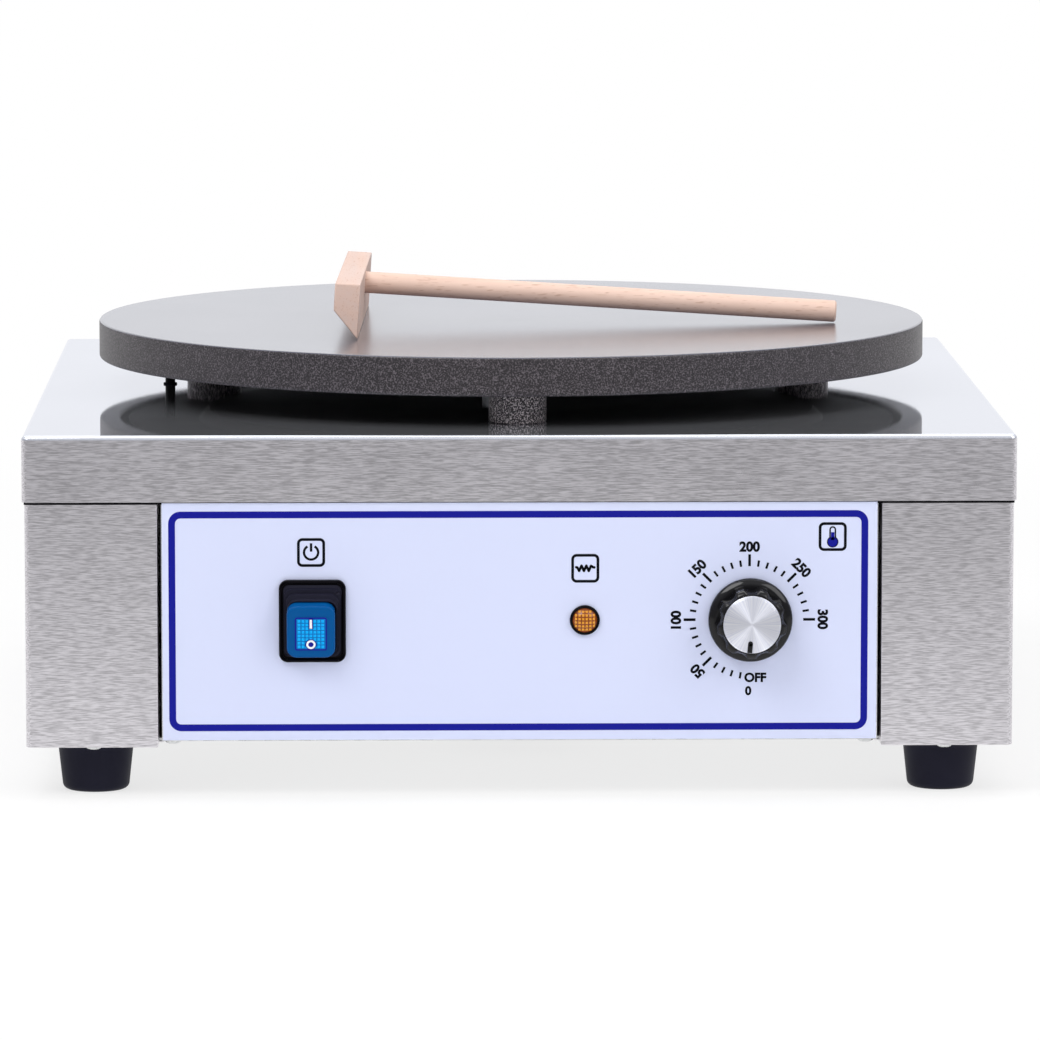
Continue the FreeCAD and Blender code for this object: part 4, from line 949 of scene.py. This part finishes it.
def bellows():
    """Rubber skirt that steps up from the frame to the button, shaped to the button's tilt at rest."""
    bm = bmesh.new()
    panel = on_panel(SWITCH_X, CONTROL_HEIGHT)
    folds = 3
    previous = None
    for step in range(2 * folds + 1):
        inwards = (step + 1) // 2 / folds
        upwards = step // 2 / folds
        width = (26.2 - 3.6 * inwards) * MM
        height = (32.6 - 6.4 * inwards) * MM
        corner = (2.6 + 1.9 * inwards) * MM
        out = (1.4 + 4.4 * upwards) * MM
        place = panel @ rocked(step / (2 * folds)) @ Matrix.Translation((0, 0, out))
        loop = loop_at(bm, width, height, corner, place)
        if previous:
            bmesh.ops.bridge_loops(bm, edges=previous + loop)
        previous = loop
    bmesh.ops.recalc_face_normals(bm, faces=bm.faces)
    obj = piece("switch_bellows", bm, "foot_rubber", None, ["switch_boot"], sharp=50)
    wall = obj.modifiers.new("wall", "SOLIDIFY")
    wall.thickness = 0.4 * MM
    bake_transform(obj)


def button():
    """Blue button with a sunk lit window, a grid of flat-topped cones on a darker ground painted as shade
    between them, and its two marks.
    """
    face = on_panel(SWITCH_X - 0.6 * MM, CONTROL_HEIGHT) @ rocked()
    face = face @ Matrix.Translation((0, 0, ROCKER_FACE))
    thickness = 7 * MM
    bm = shifted(slab(21.8 * MM, 24.6 * MM, 4.5 * MM, thickness, 1.2 * MM), 0, 0, -thickness)
    piece("rocker_button", placed(bm, face), "rocker_blue", "rocker", ["rocker_cap"])
    place = face @ Matrix.Translation((0, -0.6 * MM, 0))
    window = slab(13.2 * MM, 14.5 * MM, 0.5 * MM, 0.25 * MM, 0.1 * MM, 2)
    piece("rocker_window_shown", placed(window, place), "window_cyan", "rocker", ["rocker_window"],
          material=WINDOW_GROUND_PAINTED_SHADE)
    cone = square_cone(1.02 * MM, 0.6 * MM, 0.3 * MM)
    prisms = grid_of(cone, 7, 8, 1.78 * MM, 1.74 * MM, lambda x, y: 0.35 * MM)
    piece("window_prisms", placed(prisms, place), "window_cyan", "rocker")
    edge = band(14.4 * MM, 15.8 * MM, 0.9 * MM, 0.7 * MM, 0.15 * MM)
    piece("window_edge", placed(edge, place), "rocker_blue", "rocker", material=INK_BLUE)
    switch_marks(place @ Matrix.Translation((0, 0, 0.45 * MM)))


def switch_marks(place):
    """White bar above and ring below, each on a wider blue ground."""
    apart = 4.9 * MM
    ground = shifted(bar(1.9 * MM, 4.9 * MM, 0.1 * MM), 0, apart, 0)
    merge_in(ground, shifted(raise_faces(circle_face(2.5 * MM), 0.1 * MM), 0, -apart, 0))
    piece("switch_mark_outline", placed(ground, place), "window_cyan", "rocker", material=INK_BLUE)
    foot, top = 0.05 * MM, 0.25 * MM
    outer, inner = 2.1 * MM, 1.2 * MM
    marks = shifted(bar(1.1 * MM, 4.2 * MM, 0.2 * MM), 0, apart, foot)
    ring = lathe([(outer, foot, 0), (outer, top, 0), (inner, top, 0), (inner, foot, 0)], 32)
    merge_in(marks, shifted(ring, 0, -apart, 0))
    piece("switch_marks", placed(marks, place), "window_cyan", "rocker", material=MARK_WHITE)


# Lamp

def lens_height(x, y):
    """Height of the lens's dome over the panel."""
    ball = (LENS_RADIUS ** 2 + LENS_RISE ** 2) / (2 * LENS_RISE)
    return LENS_FOOT + (ball ** 2 - x * x - y * y) ** 0.5 - (ball - LENS_RISE)


def lamp():
    """Thin black rim and a domed amber lens with a grid of prisms, drawn in a lighter, glowing amber as
    painted highlights.
    """
    face = on_panel(LAMP_X, CONTROL_HEIGHT)
    outer = 6.8 * MM
    rim = lathe([(LENS_RADIUS, 1.7 * MM, 0.2 * MM), (outer, 1.3 * MM, 0.4 * MM), (outer, 0, 0),
                 (LENS_RADIUS, 0, 0)], 64)
    piece("lamp_rim", placed(rim, face), "black_plastic", "housing", ["lamp_body"])
    radii = [LENS_RADIUS * step / 6 for step in range(1, 7)]
    back = 0.2 * MM
    section = [(0, LENS_FOOT + LENS_RISE, 0)] + [(radius, lens_height(radius, 0), 0) for radius in radii]
    lens = lathe(section + [(LENS_RADIUS, back, 0), (0, back, 0)], 48)
    piece("lamp_lens_shown", placed(lens, face), "lens_amber", "housing", ["lamp_lens"], sharp=20)
    cone = square_cone(0.95 * MM, 0.5 * MM, 0.5 * MM)
    prisms = grid_of(cone, 6, 6, 1.55 * MM, 1.55 * MM, lens_height, 4.6 * MM)
    piece("lens_prisms", placed(prisms, face), "lens_amber", "housing", material=LENS_PRISM_HIGHLIGHT, sharp=20)


# Knob

def fluted_ring(bm, radius, share, height):
    """Closed loop of edges with shallow hollows between nine lobes, one lobe pointing down."""
    lobes = 9
    steps = 12 * lobes
    verts = []
    for step in range(steps):
        turn = 360 * step / steps
        hollow = max(0.0, (0.35 - cos(radians(lobes * turn))) / 1.35) ** 0.6
        place = polar(radius * (1 - share * hollow), 270 + turn)
        verts.append(bm.verts.new((place.x, place.y, height)))
    return [bm.edges.new((verts[index - 1], verts[index])) for index in range(len(verts))]


def knob():
    """Glossy skirt and fluted grip, the turned cap and the pointer on it."""
    face = on_panel(KNOB_X, CONTROL_HEIGHT)
    grip = bmesh.new()
    levels = [(16.5, 0.10, 4.0), (15.9, 0.10, 15.4), (15.7, 0.10, 15.75), (14.5, 0.08, 16.9),
              (14.1, 0.05, 17.15), (13.8, 0.02, 17.25), (13.2, 0.0, 17.2)]
    loops = [fluted_ring(grip, radius * MM, share, height * MM) for radius, share, height in levels]
    for first, second in zip(loops, loops[1:]):
        bmesh.ops.bridge_loops(grip, edges=first + second)
    bmesh.ops.contextual_create(grip, geom=loops[-1])
    bmesh.ops.recalc_face_normals(grip, faces=grip.faces)
    back, top = 1 * MM, 4.4 * MM
    skirt = [(0, back, 0), (KNOB_RADIUS, back, 0.3 * MM), (KNOB_RADIUS, 2.8 * MM, 1.0 * MM),
             (16.6 * MM, top, 0.8 * MM), (0, top, 0)]
    merge_in(grip, lathe(skirt, 120))
    piece("knob_grip", placed(grip, face), "knob_black", "knob", ["knob_body"], sharp=40)
    back = 17.0 * MM
    disc = [(0, KNOB_CAP_FACE, 0), (12.2 * MM, KNOB_CAP_FACE, 0.2 * MM), (12.4 * MM, 17.75 * MM, 0.1 * MM),
            (12.6 * MM, 17.9 * MM, 0.1 * MM), (KNOB_CAP_RADIUS, 17.85 * MM, 0.3 * MM),
            (KNOB_CAP_RADIUS, back, 0), (0, back, 0)]
    piece("knob_disc", placed(lathe(disc, 120), face), "knob_aluminium", "knob", ["knob_cap"])
    length = 4.2 * MM
    pointer = bar(2.2 * MM, length, 0.3 * MM)
    merge_in(pointer, shifted(raise_faces(circle_face(1.1 * MM), 0.3 * MM), 0, length / 2, 0))
    shifted(pointer, 0, -10.7 * MM, 17.9 * MM)
    turn = Matrix.Rotation(radians(POINTER_TURN), 4, "Z")
    piece("knob_pointer", placed(pointer, face @ turn), "knob_black", "knob")


# The solids' own meshes, shown with finer shading

def dress_solids():
    for entry in record["subparts"]:
        mesh = nodes[entry["node"]].data
        mesh.materials.clear()
        mesh.materials.append(FINISHES[entry["material_slot"]])
    refined("housing_wrap", 0.5 * MM)
    for name in ("control_panel", "base_plate", "centre_duct"):
        refined(name)
    # The near-black shield is painted shade under the plate.
    refined("heat_shield", material=SHIELD_PAINTED_SHADE)
    for name in ("gland_body", "gland_cap", "gland_locknut", "gland_seal", "capillary_sleeve"):
        refined(name, 0.25 * MM)
    refined("spreader_head", 0.5 * MM)
    refined("spreader_handle", 0.0, BEECH_DOWEL)


# Studio

def floor():
    """White floor that blends into the background round a soft shadow, and mirrors darker in front."""
    bm = bmesh.new()
    bmesh.ops.create_grid(bm, x_segments=1, y_segments=1, size=8)
    mesh = bpy.data.meshes.new("floor")
    bm.to_mesh(mesh)
    bm.free()
    finish = Finish("floor_white", (0.96, 0.96, 0.96), 0.6)
    finish.rough(finish.effect("handling_group", Patch=3.0)["Patches"], 0.55, 0.65)
    tree = finish.tree
    path = tree.nodes.new("ShaderNodeLightPath")
    coords = tree.nodes.new("ShaderNodeTexCoord").outputs["Object"]
    glossy = path.outputs["Is Glossy Ray"]
    backwards = node(tree, "ShaderNodeSeparateXYZ", Vector=coords).outputs["Y"]
    mirrored = node(tree, "ShaderNodeMapRange", Value=backwards, i1=-1.15, i2=-0.4, i3=0.42, i4=1.0)
    level = node(tree, "ShaderNodeMix", Factor=glossy, i2=1.0, i3=mirrored.outputs["Result"]).outputs[0]
    glow = node(tree, "ShaderNodeEmission", Color=(1, 1, 1, 1), Strength=level)
    away = node(tree, "ShaderNodeVectorMath", {"operation": "LENGTH"}, i0=coords).outputs["Value"]
    share = node(tree, "ShaderNodeMapRange", Value=away, i1=0.5, i2=1.2, i3=0.7, i4=1.0).outputs["Result"]
    by_camera = math_node(tree, "MULTIPLY", path.outputs["Is Camera Ray"], share)
    indirect = math_node(tree, "MAXIMUM", glossy, path.outputs["Is Transmission Ray"])
    seen = math_node(tree, "MAXIMUM", by_camera, indirect)
    blend = node(tree, "ShaderNodeMixShader", Fac=seen, i1=finish.shader.outputs[0], i2=glow.outputs[0])
    tree.links.new(blend.outputs[0], tree.nodes["Material Output"].inputs["Surface"])
    mesh.materials.append(finish.material)
    obj = bpy.data.objects.new("floor", mesh)
    scene.collection.objects.link(obj)


def world():
    """White background, half as bright as a light, and a darker room low in front for reflections."""
    surroundings = bpy.data.worlds.new("studio")
    scene.world = surroundings
    surroundings.use_nodes = True
    tree = surroundings.node_tree
    background = tree.nodes["Background"]
    path = tree.nodes.new("ShaderNodeLightPath")
    way = tree.nodes.new("ShaderNodeTexCoord").outputs["Generated"]
    towards = node(tree, "ShaderNodeSeparateXYZ", Vector=way)
    backwards = node(tree, "ShaderNodeMapRange", Value=towards.outputs["Y"], i1=-1.0).outputs["Result"]
    backdrop = node(tree, "ShaderNodeValToRGB", Fac=backwards)
    ramp = backdrop.color_ramp
    ramp.interpolation = "EASE"
    ramp.elements[0].position, ramp.elements[0].color = 0.35, (0.45, 0.45, 0.48, 1)
    ramp.elements[1].position, ramp.elements[1].color = 0.97, (0.95, 0.96, 1, 1)
    ramp.elements.new(0.75).color = (0.66, 0.66, 0.69, 1)
    upwards = node(tree, "ShaderNodeMapRange", {"interpolation_type": "SMOOTHSTEP"},
                   Value=towards.outputs["Z"], i1=0.15, i2=0.75)
    mirrored = node(tree, "ShaderNodeMix", {"data_type": "RGBA"}, i0=upwards.outputs["Result"],
                    i6=backdrop.outputs["Color"], i7=(0.95, 0.96, 1, 1))
    lit = node(tree, "ShaderNodeMix", {"data_type": "RGBA"}, i0=path.outputs["Is Glossy Ray"],
               i6=(0.50, 0.50, 0.50, 1), i7=mirrored.outputs[2])
    seen = math_node(tree, "MAXIMUM", path.outputs["Is Camera Ray"], path.outputs["Is Transmission Ray"])
    shade = node(tree, "ShaderNodeMix", {"data_type": "RGBA"}, i0=seen, i6=lit.outputs[2], i7=(1, 1, 1, 1))
    tree.links.new(shade.outputs[2], background.inputs["Color"])
    background.inputs["Strength"].default_value = 1.0


def softbox(name, place, aim, size, power):
    """Rectangular light of a size and power in watts, aimed at a point."""
    light = bpy.data.lights.new(name, "AREA")
    light.shape = "RECTANGLE"
    light.size, light.size_y = size
    light.energy = power
    obj = bpy.data.objects.new(name, light)
    obj.location = place
    obj.rotation_euler = (Vector(aim) - Vector(place)).to_track_quat("-Z", "Y").to_euler()
    scene.collection.objects.link(obj)


def camera():
    """Long lens from the front, a little above the plate, worked out from the photograph's edges."""
    lens = bpy.data.cameras.new("photo")
    lens.sensor_width = 36
    lens.lens = 238.85
    lens.clip_end = 50
    down = 0.1243
    right = 0.0191
    obj = bpy.data.objects.new("photo", lens)
    obj.location = (-59.05 * MM, -3318.54 * MM, 513.58 * MM)
    obj.rotation_euler = (pi / 2 - down, 0.0, -right)
    scene.collection.objects.link(obj)
    scene.camera = obj


dress_solids()
griddle()
legs()
sleeve_collar()
deck()
skirt_shadow_strip()
feet()
fasteners()
blue_frame()
dial_marks()
icons()
bezel()
bellows()
button()
lamp()
knob()
floor()
world()
softbox("key", (-1.2, -1.6, 2.2), (0, 0, 0.1), (1.6, 1.2), 30)
softbox("fill", (1.6, -1.4, 1.4), (0, 0, 0.1), (1.4, 1.4), 16)
softbox("back", (0.0, 1.8, 1.8), (0, 0, 0.15), (2.4, 0.8), 8)
softbox("strip", (0.0, -0.2, 1.8), (0, -0.2, 0.1), (1.8, 0.25), 7)
camera()
scene.view_settings.view_transform = "Standard"
